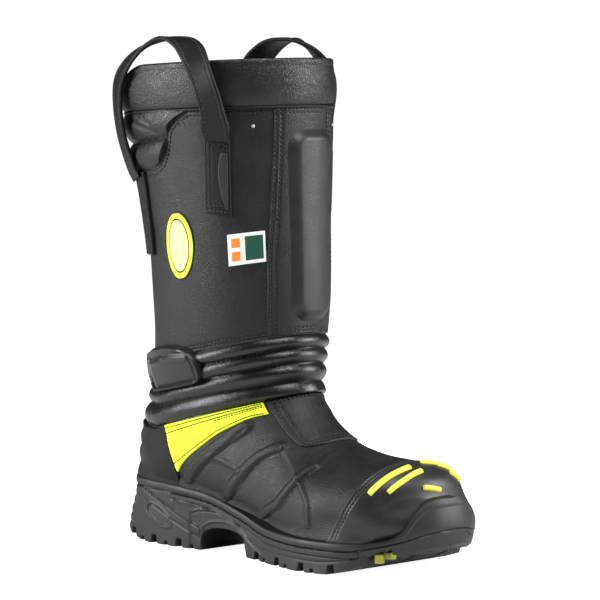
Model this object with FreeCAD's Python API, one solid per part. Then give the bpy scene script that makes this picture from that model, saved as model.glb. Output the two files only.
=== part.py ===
import FreeCAD, Part
import os, math
from bisect import bisect_right

# Right-foot structural fire boot, pull-on type with a moulded flex zone at the ankle.
# Units are millimetres. +X points to the toe, +Y to the medial (inner) side,
# -Y to the lateral (outer) side, +Z up. The origin lies on the ground plane under the waist.
#
# The upper is described by (angle, station, depth):
#   angle    degrees round a section, 0 front/top, +90 lateral, 180 back/bottom, -90 medial
#   station  position along the boot, 0 at the toe tip, 21 at the collar top
#   depth    offset inwards from the upper's surface; negative is outwards
os.makedirs("parts", exist_ok=True)
V = FreeCAD.Vector

# ------------------------------------------------------------------ driving dimensions
COLLAR_FRONT_Z = 364.0      # top of the padded collar at the shin
LOOP_TOP_Z = 381.0          # top of the pull loops
LEATHER = 2.0               # upper leather thickness
GUARD_T = 1.7               # rubber toe guard
PANEL_T = 1.5               # overlaid panels
CAP_T = 1.8                 # composite safety toe cap
CAP_DEPTH = 2.5             # outer face of the toe cap
BOARD_T = 1.7               # insole board
BOARD_DEPTH = 2.45
PLATE_T = 0.8               # penetration-resistant insert
PLATE_DEPTH = 4.5
LINING_OUT, LINING_IN = 5.6, 7.2        # depths of the lining's faces
FOOTBED_OUT, FOOTBED_IN = 7.5, 11.8
OVERLAY = -0.3              # depth of the inner face of parts laid over the upper
OVERLAID = (OVERLAY - PANEL_T, OVERLAY)
STRAP_W, STRAP_T = 20.0, 2.4            # pull-loop webbing
OUTSOLE_GAP = 0.25
VAMP_TOP = 11.45            # top station of the vamp and the panels on it
SHAFT_BASE = 15.0           # lowest station of the shaft panels
SEAM_TOP = 19.90            # collar seam station
COLLAR_BASE, COLLAR_TOP = 19.96, 21.0

SIDES = (("lateral", 1), ("medial", -1))    # name and sign of the angle

# Sections of the upper: station, front/top point x, z, back/bottom point x, z,
# split of the chord between them, half widths lateral, medial, centre y,
# superellipse exponents of the front/top and back/bottom halves
SECTIONS = [
    [0.00, 147.0, 41.6, 146.0, 37.4, 0.50, 3.1, 3.1, 4.2, 2.00, 2.00],
    [0.50, 146.0, 51.0, 143.0, 28.1, 0.42, 21.8, 22.8, 4.2, 2.00, 2.20],
    [1.00, 141.5, 61.0, 135.0, 25.0, 0.38, 35.4, 35.8, 4.2, 2.10, 2.60],
    [1.50, 134.0, 69.0, 124.5, 23.9, 0.35, 44.7, 44.0, 3.1, 2.20, 3.00],
    [2.00, 121.5, 75.0, 109.5, 22.9, 0.33, 52.0, 48.8, 2.1, 2.30, 3.40],
    [3.00, 99.0, 78.5, 90.0, 22.9, 0.32, 55.6, 51.0, 0.5, 2.30, 3.60],
    [4.00, 76.0, 80.5, 66.5, 22.9, 0.31, 56.7, 50.5, -1.0, 2.20, 3.60],
    [5.00, 55.5, 85.5, 38.0, 25.0, 0.31, 54.1, 46.8, -1.6, 2.10, 3.40],
    [6.00, 41.0, 92.5, 8.3, 29.1, 0.31, 49.9, 41.6, -1.6, 2.00, 3.20],
    [7.00, 31.5, 99.5, -22.9, 33.3, 0.34, 46.8, 38.5, -1.6, 2.00, 3.00],
    [8.00, 24.5, 105.5, -58.2, 36.4, 0.38, 45.8, 39.0, -1.0, 2.00, 2.80],
    [9.00, 19.0, 111.0, -99.8, 37.4, 0.42, 46.3, 42.1, 0.0, 2.00, 2.80],
    [10.0, 15.0, 115.0, -137.0, 42.0, 0.46, 46.8, 44.7, 0.0, 2.00, 2.60],
    [11.0, 12.8, 118.0, -152.5, 62.0, 0.48, 46.8, 45.8, 0.0, 2.00, 2.40],
    [12.0, 11.5, 121.0, -150.0, 87.0, 0.49, 47.2, 46.5, 0.0, 2.00, 2.25],
    [13.0, 10.5, 136.0, -143.5, 102.0, 0.50, 48.5, 48.2, 0.0, 2.00, 2.20],
    [14.0, 9.8, 151.0, -138.5, 117.0, 0.50, 50.5, 50.5, 0.0, 2.05, 2.20],
    [15.0, 9.8, 166.0, -135.5, 132.0, 0.50, 52.8, 52.8, 0.0, 2.10, 2.20],
    [16.0, 10.0, 196.0, -133.5, 166.0, 0.50, 55.6, 55.6, 0.0, 2.20, 2.20],
    [17.0, 9.5, 236.0, -136.0, 213.0, 0.50, 58.2, 58.2, 0.0, 2.20, 2.20],
    [18.0, 9.0, 276.0, -144.0, 259.0, 0.50, 60.8, 60.8, 0.0, 2.20, 2.20],
    [19.0, 9.0, 309.0, -155.0, 298.0, 0.50, 63.4, 63.4, 0.0, 2.20, 2.20],
    [20.0, 9.0, 332.0, -161.2, 325.0, 0.50, 65.0, 65.0, 0.0, 2.20, 2.20],
    [21.0, 10.0, COLLAR_FRONT_Z, -165.0, 356.0, 0.50, 66.6, 66.6, 0.0, 2.20, 2.20],
]
# Sole plan outline (x, y), from the heel along the lateral side and back along the medial side
SOLE_OUTLINE = [
    (-162, 0), (-157, -23), (-142, -37), (-110, -43.5), (-68, -43.5), (-28, -42.5), (12, -49),
    (46, -57), (78, -59.5), (108, -55), (132, -39), (148, -17), (152, 5), (148, 26), (132, 43),
    (108, 51.5), (78, 53), (46, 51), (12, 42), (-28, 34), (-68, 34), (-110, 39.5),
    (-142, 36.5), (-157, 23)]
# Sole side profile (x, z): underside heel to toe, then upper edge toe to heel
SOLE_BOTTOM = [
    (-163, 14), (-157, 9), (-142, 3), (-120, 0), (-62, 0), (-60, 13), (-52, 17), (-24, 17),
    (-15, 13), (-12, 0), (60, 0), (90, 1.5), (115, 8), (132, 15), (153, 23)]
SOLE_TOP = [
    (153, 56), (145, 54), (138, 45), (130, 31), (120, 26), (95, 24), (58, 23.5), (20, 25),
    (-20, 34), (-57, 43), (-92, 46), (-125, 47), (-163, 49)]


# ------------------------------------------------------------------ interpolation
def slopes(xs, ys):
    """Slopes at the knots of a monotone cubic through (xs, ys)."""
    count = len(xs)
    gaps = [xs[i + 1] - xs[i] for i in range(count - 1)]
    rises = [(ys[i + 1] - ys[i]) / gaps[i] for i in range(count - 1)]
    if count == 2:
        return [rises[0], rises[0]]

    def end_slope(gap, next_gap, rise, next_rise):
        value = ((2 * gap + next_gap) * rise - gap * next_rise) / (gap + next_gap)
        if value * rise <= 0:
            return 0.0
        if rise * next_rise <= 0 and abs(value) > 3 * abs(rise):
            return 3 * rise
        return value

    result = [0.0] * count
    for i in range(1, count - 1):
        if rises[i - 1] * rises[i] > 0:
            before = 2 * gaps[i] + gaps[i - 1]
            after = gaps[i] + 2 * gaps[i - 1]
            result[i] = (before + after) / (before / rises[i - 1] + after / rises[i])
    result[0] = end_slope(gaps[0], gaps[1], rises[0], rises[1])
    result[-1] = end_slope(gaps[-1], gaps[-2], rises[-1], rises[-2])
    return result


def hermite(xs, ys, grads, x):
    i = min(max(bisect_right(xs, x) - 1, 0), len(xs) - 2)
    gap = xs[i + 1] - xs[i]
    s = (x - xs[i]) / gap
    return ((2 * s ** 3 - 3 * s * s + 1) * ys[i] + (s ** 3 - 2 * s * s + s) * gap * grads[i]
            + (-2 * s ** 3 + 3 * s * s) * ys[i + 1] + (s ** 3 - s * s) * gap * grads[i + 1])


def curve(points):
    """Monotone curve through (angle, station) points, evaluated on 0..1 by chord length."""
    mm_per_degree, mm_per_station = 0.9, 14.0
    lengths = [0.0]
    for a, b in zip(points, points[1:]):
        lengths.append(lengths[-1] + math.hypot((b[0] - a[0]) * mm_per_degree,
                                                (b[1] - a[1]) * mm_per_station))
    knots = [length / lengths[-1] for length in lengths]
    columns = [[p[k] for p in points] for k in (0, 1)]
    grads = [slopes(knots, column) for column in columns]
    return lambda s: tuple(hermite(knots, columns[k], grads[k], s) for k in (0, 1))


# ------------------------------------------------------------------ surface of the upper
STATIONS = [row[0] for row in SECTIONS]
COLUMNS = [[row[k] for row in SECTIONS] for k in range(1, 11)]
COLUMN_SLOPES = [slopes(STATIONS, column) for column in COLUMNS]
section_cache = {}


def section_row(station):
    return [hermite(STATIONS, column, grads, station)
            for column, grads in zip(COLUMNS, COLUMN_SLOPES)]


def split_point(row):
    front_x, front_z, back_x, back_z, split = row[:5]
    return back_x + (front_x - back_x) * split, back_z + (front_z - back_z) * split


def section(station, depth):
    """Section data at a station, each edge moved inwards by depth along its own normal."""
    key = (round(station, 5), round(depth, 4))
    if key in section_cache:
        return section_cache[key]
    step = 0.04
    a, b = section_row(max(station - step, 0.0)), section_row(station + step)
    front_x, front_z, back_x, back_z, split, lateral, medial, *rest = section_row(station)
    front_dx, front_dz = b[0] - a[0], b[1] - a[1]
    back_dx, back_dz = b[2] - a[2], b[3] - a[3]
    front_run, back_run = math.hypot(front_dx, front_dz), math.hypot(back_dx, back_dz)
    (ax, az), (bx, bz) = split_point(a), split_point(b)
    run = math.hypot(bx - ax, bz - az)
    result = (front_x - depth * front_dz / front_run, front_z + depth * front_dx / front_run,
              back_x + depth * back_dz / back_run, back_z - depth * back_dx / back_run,
              split,
              lateral - depth * run / math.hypot(run, b[5] - a[5]),
              medial - depth * run / math.hypot(run, b[6] - a[6]), *rest)
    section_cache[key] = result
    return result


def upper(angle, station, depth=0.0):
    """Point of the upper."""
    (front_x, front_z, back_x, back_z, split, lateral, medial,
     center_y, front_power, back_power) = section(station, depth)
    dx, dz = front_x - back_x, front_z - back_z
    chord = math.hypot(dx, dz)
    c, s = math.cos(math.radians(angle)), math.sin(math.radians(angle))
    power = front_power if c >= 0 else back_power
    reach = chord * (1 - split) if c >= 0 else chord * split
    width = lateral if s >= 0 else medial
    radius = (abs(c) ** power + abs(s) ** power) ** (-1.0 / power)
    along = reach * c * radius
    return V(back_x + dx * split + along * dx / chord,
             center_y - width * s * radius,
             back_z + dz * split + along * dz / chord)


def tangents(angle, station):
    """Steps over the surface: 1 degree round the section and 0.1 station along the boot."""
    return (upper(angle + 0.5, station) - upper(angle - 0.5, station),
            upper(angle, station + 0.05) - upper(angle, station - 0.05))


def normal(angle, station):
    """Outward normal of the upper."""
    around, along = tangents(angle, station)
    n = around.cross(along).normalize()
    outwards = upper(angle, station, -1.0) - upper(angle, station, 1.0)
    return n if n.dot(outwards) > 0 else n * -1


# ------------------------------------------------------------------ solids
def save(name, shapes):
    """Write one STEP file, leaving out slivers."""
    if not isinstance(shapes, (list, tuple)):
        shapes = [shapes]
    solids = []
    for shape in shapes:
        for solid in shape.Solids:
            if solid.Volume < 0:
                solid = solid.reversed()
            if solid.Volume > 0.5:
                solids.append(solid)
    result = solids[0] if len(solids) == 1 else Part.makeCompound(solids)
    result.exportStep("parts/" + name + ".step")


def biggest(shape):
    return max(shape.Solids, key=lambda s: s.Volume)


def solid_from(faces):
    shell = Part.makeShell(faces)
    shell.sewShape()
    solid = Part.makeSolid(shell)
    if solid.Volume < 0:
        solid.reverse()
    return solid


def surface_through(grid):
    surface = Part.BSplineSurface()
    surface.interpolate(grid)
    return surface


def upper_skin(stations, depth, around=44):
    """Surface right round the upper; depth is a number or a function of the station."""
    depth_at = depth if callable(depth) else lambda t: depth
    grid = [[upper(-180.0 + 360.0 * i / around, t, depth_at(t)) for t in stations]
            for i in range(around)]
    grid.append([V(p) for p in grid[0]])
    return surface_through(grid)


def end_cap(skin, v):
    return Part.Face(Part.Wire([skin.vIso(v).toShape()]))


def stack(stations, depth, around=44):
    """Solid bounded by the offset upper and by its first and last sections."""
    skin = upper_skin(stations, depth, around)
    v0, v1 = skin.bounds()[2:]
    return solid_from([skin.toShape(), end_cap(skin, v0), end_cap(skin, v1)])


def body(start, end, depth, around=44):
    """The same between two stations, with regularly spaced sections."""
    regular = [0.25 * i for i in range(9)] + [2.5] + [3 + 0.5 * i for i in range(37)]
    inner = [t for t in regular if start + 0.12 < t < end - 0.12]
    return stack([start] + inner + [end], depth, around)


def sock(outer_stations, outer_depth, inner_stations, inner_depth):
    """Closed-toe tube, open at the top, as one skin folded over at its upper edge."""
    outer = upper_skin(outer_stations, outer_depth)
    inner = upper_skin(inner_stations, inner_depth)
    outer_v0, outer_v1 = outer.bounds()[2:]
    inner_v0, inner_v1 = inner.bounds()[2:]
    rim = Part.makeRuledSurface(outer.vIso(outer_v1).toShape(), inner.vIso(inner_v1).toShape())
    return solid_from([outer.toShape(), inner.toShape(),
                       end_cap(outer, outer_v0), end_cap(inner, inner_v0), rim])


def thick(outer_grid, inner_grid):
    """Closed solid between two grids of points that have the same size."""
    outer, inner = surface_through(outer_grid), surface_through(inner_grid)
    faces = [outer.toShape(), inner.toShape()]
    ob, ib = outer.bounds(), inner.bounds()
    for k in (0, 1):
        faces.append(Part.makeRuledSurface(outer.uIso(ob[k]).toShape(),
                                           inner.uIso(ib[k]).toShape()))
        faces.append(Part.makeRuledSurface(outer.vIso(ob[2 + k]).toShape(),
                                           inner.vIso(ib[2 + k]).toShape()))
    return solid_from(faces)


def mirrored(points, side=-1):
    return [(side * angle, station) for angle, station in points]


def patch(bottom, top, left, right, depths, cells, bulge=None, side=1):
    """Panel inside four (angle, station) curves; bottom and top run from left to right.

    depths are those of the outer and inner face, cells the grid divisions along and up,
    bulge(u, v) raises the outer face, and side -1 mirrors the panel to the medial side.
    """
    lower, higher, first, last = (curve(mirrored(edge, side))
                                  for edge in (bottom, top, left, right))
    c00, c10, c01, c11 = lower(0), lower(1), higher(0), higher(1)

    def place(u, v):
        b, t, l, r = lower(u), higher(u), first(v), last(v)
        return [(1 - v) * b[k] + v * t[k] + (1 - u) * l[k] + u * r[k]
                - (1 - u) * (1 - v) * c00[k] - u * (1 - v) * c10[k]
                - (1 - u) * v * c01[k] - u * v * c11[k]
                for k in (0, 1)]

    outer, inner = [], []
    for i in range(cells[0] + 1):
        outer_row, inner_row = [], []
        for j in range(cells[1] + 1):
            u, v = i / cells[0], j / cells[1]
            angle, station = place(u, v)
            extra = bulge(u, v) if bulge else 0.0
            outer_row.append(upper(angle, station, depths[0] - extra))
            inner_row.append(upper(angle, station, depths[1]))
        outer.append(outer_row)
        inner.append(inner_row)
    return thick(outer, inner)


def quad(bottom, top, depths, cells, bulge=None, side=1):
    """Patch with straight edges; bottom and top each hold their two corners."""
    left, right = zip(bottom, top)
    return patch(bottom, top, left, right, depths, cells, bulge, side)


def strip(angles, stations, depths, cells, bulge=None):
    """Patch between two angles and two stations."""
    bottom, top = ([(angle, station) for angle in angles] for station in stations)
    return quad(bottom, top, depths, cells, bulge)


# ------------------------------------------------------------------ sole
def outline_prism(inset, z0, z1):
    """Sole outline moved inwards by inset and extruded from z0 to z1."""
    points = []
    for i, (x, y) in enumerate(SOLE_OUTLINE):
        before = SOLE_OUTLINE[i - 1]
        after = SOLE_OUTLINE[(i + 1) % len(SOLE_OUTLINE)]
        dx, dy = after[0] - before[0], after[1] - before[1]
        run = math.hypot(dx, dy)
        points.append(V(x - inset * dy / run, y + inset * dx / run, z0))
    outline = Part.BSplineCurve()
    outline.interpolate(Points=points, PeriodicFlag=True)
    return Part.Face(Part.Wire([outline.toShape()])).extrude(V(0, 0, z1 - z0))


def slab(profile):
    """(x, z) profile extruded across the full width."""
    half_width = 90
    points = [V(x, -half_width, z) for x, z in profile]
    return Part.Face(Part.makePolygon(points + [points[0]])).extrude(V(0, 2 * half_width, 0))


UNDERSIDE = [(row[3], row[4]) for row in SECTIONS if row[0] <= 10]     # toe to heel


def underside_z(x):
    """Underside height of the lasted upper, for x from -137 to 146."""
    for (x0, z0), (x1, z1) in zip(UNDERSIDE, UNDERSIDE[1:]):
        if x1 <= x <= x0:
            return z0 + (z1 - z0) * (x0 - x) / (x0 - x1)


MIDSOLE_X = [-134, -120, -99.8, -80, -58.2, -40, -22.9, -8, 8.3, 24, 38, 52, 66.5, 90, 109.5, 122]


def midsole_shape(inset, gap, rise):
    """Wedge under the upper; gap lowers its underside and rise lifts its top."""
    top, bottom = [], []
    for x in MIDSOLE_X:
        lowest = min(underside_z(x), underside_z(x + 3), underside_z(x - 3))
        top.append((x, lowest - 0.4 + rise))
        thickness = 12.0 if x < -70 else 8.5
        floor = 20.5 if -72 < x < -5 else 0     # stays above the arch of the outsole
        bottom.append((x, max(underside_z(x) - thickness - gap, floor)))
    return slab(bottom + top[::-1]).common(outline_prism(inset, 0, 60))


NOTCH_PITCH = 14
NOTCH_X = [*range(-146, -75, NOTCH_PITCH), *range(6, 119, NOTCH_PITCH)]
NOTCH_LENGTH, NOTCH_DEPTH = 6.0, 26.0       # along x and y
GROOVE_X = [-111, -97, -83, 27, 55, 83]
GROOVE_LENGTH, GROOVE_WIDTH = 3.0, 44.0


def tread_cuts():
    """Side notches and cross grooves, rising with the sole towards the toe."""
    def base_z(x):
        return -3 + max(0, (x - 70) * 0.16)

    cuts = []
    for x in NOTCH_X:
        height = 8.0 if x < 70 else 9.0
        lateral_y = -50.0 if x < -70 else -64.0
        medial_y = 24.0 if x < 20 else 34.0
        for y in (lateral_y, medial_y):
            cuts.append(Part.makeBox(NOTCH_LENGTH, NOTCH_DEPTH, height,
                                     V(x - NOTCH_LENGTH / 2, y, base_z(x))))
    for x in GROOVE_X:
        cuts.append(Part.makeBox(GROOVE_LENGTH, GROOVE_WIDTH, 7.0,
                                 V(x - GROOVE_LENGTH / 2, -24.0, base_z(x))))
    return Part.makeCompound(cuts)


# coloured tread inserts: centre x, y, bottom z, top z
INSERTS = [(122, -37, 11.6, 17.0), (122, 35, 11.6, 17.0), (40, -38, 1.2, 10.0),
           (40, 26, 1.2, 10.0), (-140, 0, 4.0, 10.0)]
INSERT_SIZE, POCKET_SIZE = 9.0, 9.4


def square_post(x, y, size, z0, height):
    return Part.makeBox(size, size, height, V(x - size / 2, y - size / 2, z0))


sole_block = slab(SOLE_BOTTOM + SOLE_TOP).common(outline_prism(0.0, -5, 70))
recess = midsole_shape(inset=10.7, gap=0.3, rise=3.0)
outsole = sole_block.cut(body(0.0, 11.4, -OUTSOLE_GAP)).cut(recess)
outsole = outsole.cut(tread_cuts())
pockets = [square_post(x, y, POCKET_SIZE, -1.0, top + 1.2) for x, y, bottom, top in INSERTS]
outsole = outsole.cut(Part.makeCompound(pockets))
save("outsole", biggest(outsole))
save("tread_inserts", [
    biggest(square_post(x, y, INSERT_SIZE, bottom, top - bottom).cut(recess))
    for x, y, bottom, top in INSERTS])
save("midsole", midsole_shape(inset=11.0, gap=0.0, rise=0.0))

# ------------------------------------------------------------------ lasted foot
# vamp, open along the bottom
opening = strip((143, 217), (1.4, 9.9), (-1.2, 3.4), (10, 26))
save("vamp", body(0.0, VAMP_TOP, 0.0).cut(body(0.0, 11.9, LEATHER)).cut(opening))

# filler in front of and behind the shank
FILLER_DEPTHS = (0.3, 1.8)
save("bottom_filler", [strip((145, 215), (1.5, 6.1), FILLER_DEPTHS, (8, 14)),
                       strip((145, 215), (8.75, 9.8), FILLER_DEPTHS, (8, 5))])
save("shank", strip((164, 196), (6.25, 8.6), FILLER_DEPTHS, (4, 8)))

# safety toe cap, open underneath, with a strip along its rear edge
toe_cap = body(0.0, 2.42, CAP_DEPTH).cut(body(0.0, 2.8, CAP_DEPTH + CAP_T))
save("safety_toe_cap", toe_cap.cut(strip((121, 239), (0.8, 3.2), (-2.0, 9.0), (12, 8))))
save("toe_cap_edge_strip", strip((-112, 112), (2.5, 2.85), (2.6, 4.1), (24, 3)))
save("heel_stiffener", strip((113, 247), (9.85, 11.35), (2.4, 4.0), (18, 8)))


def toe_guard():
    """Rubber cover over the toe; its rear edge sweeps towards the instep at both sides."""
    half_edge = [(128, 3.10), (97, 2.88), (81, 2.75), (67, 2.62), (54, 2.55), (39, 2.52),
                 (19, 2.52), (0, 2.62)]
    rear_edge = half_edge + mirrored(half_edge[-2::-1])
    trim_top = 4.2
    trim = patch(rear_edge, [(angle, trim_top) for angle, station in rear_edge],
                 [(128, 3.10), (128, trim_top)], [(-128, 3.10), (-128, trim_top)],
                 (-6.0, 3.0), (40, 5))
    shell = body(0.0, 3.4, OVERLAY - GUARD_T, around=40).cut(body(0.0, 3.9, OVERLAY, around=40))
    return biggest(shell.cut(trim).cut(sole_block))


def rib(points, half_width, depths, count=14):
    """Narrow raised rib along an (angle, station) centre line, narrower at its ends."""
    center = curve(points)
    outer, inner = [], []
    for i in range(count + 1):
        s = i / count
        angle, station = center(s)
        behind, ahead = center(max(s - 0.02, 0)), center(min(s + 0.02, 1))
        direction = (upper(*ahead) - upper(*behind)).normalize()
        e1, e2 = tangents(angle, station)
        sideways = e1.cross(e2).normalize().cross(direction)
        # express the sideways millimetre in steps of e1 (1 degree) and e2 (0.1 station)
        g11, g12, g22 = e1.dot(e1), e1.dot(e2), e2.dot(e2)
        r1, r2 = sideways.dot(e1), sideways.dot(e2)
        det = g11 * g22 - g12 * g12
        angle_step = (r1 * g22 - r2 * g12) / det
        station_step = 0.1 * (r2 * g11 - r1 * g12) / det
        half = half_width * (0.55 + 0.45 * min(1.0, 6 * min(s, 1 - s)))
        across = [(j / 2.0 - 1.0) * half for j in range(5)]
        spots = [(angle + angle_step * k, station + station_step * k) for k in across]
        outer.append([upper(*spot, depths[0]) for spot in spots])
        inner.append([upper(*spot, depths[1]) for spot in spots])
    return thick(outer, inner)


GUARD_RIBS = [
    [(58, 2.00), (41, 1.95), (23, 1.95), (7, 1.98)],
    [(51, 1.68), (32, 1.65), (19, 1.70), (3.5, 1.73)],
    [(21, 1.45), (7, 1.12), (-16, 0.82), (-29, 0.95)],
    [(-6, 2.28), (-17, 2.2), (-28, 2.12)],
    [(-20, 2.02), (-36, 1.88)],
    [(-18, 1.72), (-31, 1.62), (-44, 1.55)],
]
save("toe_guard", toe_guard())
save("toe_guard_ribs", [rib(points, 2.1, (-4.2, -2.25)) for points in GUARD_RIBS])


def heel_cap():
    """Moulded outer counter, trimmed where it meets the sole."""
    cap = patch([(130, 8.97), (150, 8.9), (180, 8.9), (210, 8.9), (230, 8.97)],
                [(111.5, VAMP_TOP), (180, VAMP_TOP), (248.5, VAMP_TOP)],
                [(130, 8.97), (115.5, 9.5), (111.5, VAMP_TOP)],
                [(230, 8.97), (244.5, 9.5), (248.5, VAMP_TOP)],
                (-3.0, -0.6), (52, 24))
    return biggest(cap.cut(sole_block))


save("heel_cap", heel_cap())


def side_flash(side):
    """Side panel between the instep panel and the heel cap."""
    bottom = [(38.5, 9.95), (54, 10.2), (65, 10.03), (77, 9.72), (89, 9.64), (102, 9.6),
              (113.3, 9.6)]
    top = [(angle, VAMP_TOP) for angle in (40, 60, 85, 110)]
    return patch(bottom, top, [bottom[0], top[0]], [bottom[-1], top[-1]],
                 OVERLAID, (22, 8), side=side)


def instep_panel():
    bottom = [(-33, 5.9), (-24, 5.62), (-10, 5.48), (10, 5.48), (24, 5.62), (33, 5.9)]
    right = [(33, 5.9), (38, 6.45), (38.8, 7.1), (38.3, 8.03), (36.3, 9.47), (36.8, VAMP_TOP)]
    left = mirrored(right)
    return patch(bottom, [left[-1], right[-1]], left, right, OVERLAID, (16, 18))


for name, side in SIDES:
    save("side_flash_" + name, side_flash(side))
save("instep_panel", instep_panel())

# ------------------------------------------------------------------ flex zone at the ankle
ROLL_CREASES = [11.60, 12.62, 13.43, 14.17, 14.88]      # stations
ROLL_CRESTS = [12.12, 13.02, 13.80, 14.52]
ROLL_H = 3.0                # height of the crests above the upper's surface
CREASE_DEPTH = 0.3
ROLL_T = 1.3                # leather thickness in the rolls


def roll_depth(station):
    """Depth of the outer face: a rounded roll between each two creases."""
    for start, end in zip(ROLL_CREASES, ROLL_CREASES[1:]):
        if start <= station <= end:
            wave = math.sin(math.pi * (station - start) / (end - start)) ** 0.8
            return CREASE_DEPTH - (ROLL_H + CREASE_DEPTH) * wave
    return CREASE_DEPTH


def flex_zone_leather():
    stations = []
    for start, end, crest in zip(ROLL_CREASES, ROLL_CREASES[1:], ROLL_CRESTS):
        stations += [start, start + (crest - start) * 0.4, crest, end - (end - crest) * 0.4]
    stations.append(ROLL_CREASES[-1])
    # the inside runs past both ends so that the cut leaves them open
    inside = [stations[0] - 0.12] + stations[1:-1] + [stations[-1] + 0.12]
    return stack(stations, roll_depth).cut(stack(inside, lambda t: roll_depth(t) + ROLL_T))


save("flex_zone_leather", flex_zone_leather())
save("flex_zone_foam", body(11.7, 14.8, 2.3).cut(body(11.5, 15.0, 4.4)))

# ------------------------------------------------------------------ lining bootie and insole
lining_stations = [0.5, 1.0, 1.5, 2.0, 2.5] + [float(i) for i in range(3, 20)] + [19.85]
lining = sock([0.0] + lining_stations, LINING_OUT, lining_stations, LINING_IN)
save("lining", lining)

# insole layers: name, angles, stations, depths, grid cells
INSOLE_LAYERS = [
    ("insole_board", (129, 231), (1.0, 9.6), (BOARD_DEPTH, BOARD_DEPTH + BOARD_T), (24, 34)),
    ("puncture_plate", (132, 228), (1.2, 9.55), (PLATE_DEPTH, PLATE_DEPTH + PLATE_T), (24, 34)),
    ("footbed", (130, 230), (1.35, 9.85), (FOOTBED_OUT, FOOTBED_IN), (12, 26)),
]
# they give way to the rounded lower edge of the bootie
for name, *layer in INSOLE_LAYERS:
    save(name, biggest(strip(*layer).cut(lining)))
save("shaft_insulation", body(15.05, 18.4, 2.2).cut(body(14.9, 18.6, 5.2)))

# ------------------------------------------------------------------ shaft panels
# seam between the shin panel and the side panels, lateral side
SHIN_SEAM = [(33.2, SHAFT_BASE), (33.0, 16.5), (30, 17.5), (27.5, 18.4), (25.5, SEAM_TOP)]
SHAFT_DEPTHS = (0.0, 1.8)


def shin_panel():
    right = [(angle - 0.25, station) for angle, station in SHIN_SEAM]
    return patch([(-33.0, SHAFT_BASE), (33.0, SHAFT_BASE)],
                 [(-25.3, SEAM_TOP), (25.3, SEAM_TOP)],
                 mirrored(right), right, SHAFT_DEPTHS, (12, 14))


def calf_panel(grow, depths, top):
    """Rear-top panel whose slanted front edges rise to the collar seam; grow is in degrees."""
    base = 18.5 - grow * 0.03
    left = [(94 - grow, base), (93 - grow, 18.9), (88 - grow, 19.45), (80 - grow, top)]
    right = [(360 - angle, station) for angle, station in left]
    return patch([left[0], (180, base), right[0]], [left[-1], (180, top), right[-1]],
                 left, right, depths, (26, 8))


def shaft_side(side, calf_cut):
    """Side panel from the shin seam to the back, cleared for the calf panel."""
    back = 179.4
    panel = patch([(33.5, SHAFT_BASE), (back, SHAFT_BASE)], [(25.9, SEAM_TOP), (back, SEAM_TOP)],
                  [(angle + 0.35, station) for angle, station in SHIN_SEAM],
                  [(back, SHAFT_BASE), (back, SEAM_TOP)], SHAFT_DEPTHS, (24, 14), side=side)
    return biggest(panel.cut(calf_cut))


VENTS = [(78.5, 19.48), (37.5, 19.32)]      # angle, station


def vent(panel, angle, station):
    """Drill one vent hole; returns the panel and the flanged eyelet in it."""
    center = upper(angle, station)
    axis = (center - upper(angle, station, 1.0)).normalize()

    def cylinder(radius, height, start):
        return Part.makeCylinder(radius, height, center + axis * start, axis)

    panel = panel.cut(cylinder(2.0, 6.0, -4.0))
    flange, barrel = cylinder(3.4, 0.8, 0.45), cylinder(1.8, 2.2, -1.7)
    return panel, flange.fuse(barrel).cut(cylinder(1.2, 8.0, -5)).removeSplitter()


save("shin_panel", shin_panel())
calf_cut = calf_panel(3.3, (-3.0, 4.0), 20.1)
eyelets = []
for name, side in SIDES:
    panel = shaft_side(side, calf_cut)
    for angle, station in VENTS:
        panel, eyelet = vent(panel, side * angle, station)
        eyelets.append(eyelet)
    save("shaft_side_" + name, panel)
save("vent_eyelets", eyelets)
save("calf_stretch_panel", calf_panel(0.0, (-1.5, 1.3), SEAM_TOP - 0.02))
save("calf_foam", calf_panel(-2.0, (1.8, 4.4), SEAM_TOP - 0.1))
save("back_stay", strip((173, 187), (15.1, 18.38), (-1.6, OVERLAY), (3, 12)))


def dome(u, v):
    """Flat-topped bulge that falls away at all four edges."""
    level = min(1.0, 7 * min(u, 1 - u)) * min(1.0, 10 * min(v, 1 - v))
    return 3.4 * level ** 0.6


save("shin_guard", strip((-25.0, 17.0), (15.45, 19.05), (-1.4, OVERLAY), (16, 22), dome))


def ankle_patch(side):
    """Moulded plate over the flex zone."""
    return patch([(80, 13.38), (119, 13.38)],
                 [(84, 14.75), (95, 15.2), (110, 15.3), (136, 15.3)],
                 [(80, 13.38), (79, 13.9), (84, 14.75)],
                 [(119, 13.38), (130, 14.5), (136, 15.3)],
                 (-5.4, -3.5), (14, 10), side=side)


def shaft_badge(side):
    return quad([(80, 16.6), (104, 16.55)], [(80, 17.6), (104, 17.55)],
                (-1.3, OVERLAY), (6, 8), side=side)


for name, side in SIDES:
    save("ankle_patch_" + name, ankle_patch(side))
    save("shaft_badge_" + name, shaft_badge(side))
save("woven_label", strip((38.5, 56), (16.55, 17.2), (-1.0, OVERLAY), (5, 5)))


# ------------------------------------------------------------------ collar
def collar_depth(station):
    """Depth of the outer face, bulging outwards as padding."""
    s = min(1.0, max(0.0, (station - COLLAR_BASE) / (COLLAR_TOP - COLLAR_BASE)))
    return -0.6 - 2.2 * max(0.0, math.sin(math.pi * s * 0.9)) ** 0.7


FOAM_STATIONS = [20.02, 20.2, 20.4, 20.6, 20.8, 20.94]


def collar_leather():
    """Leather folded round the padding: an inner and an outer wall, open below."""
    outer = stack([COLLAR_BASE, 20.1, 20.3, 20.6, 20.85, COLLAR_TOP], collar_depth)
    hole = stack([19.8, 20.2, 20.6, 21.25], 8.6)
    cavity = stack([19.8] + FOAM_STATIONS[1:-1] + [20.955], lambda t: collar_depth(t) + 1.5)
    core = stack([19.7, 20.2, 20.6, 21.3], 7.0)
    return outer.cut(hole).cut(cavity.cut(core))


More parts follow.
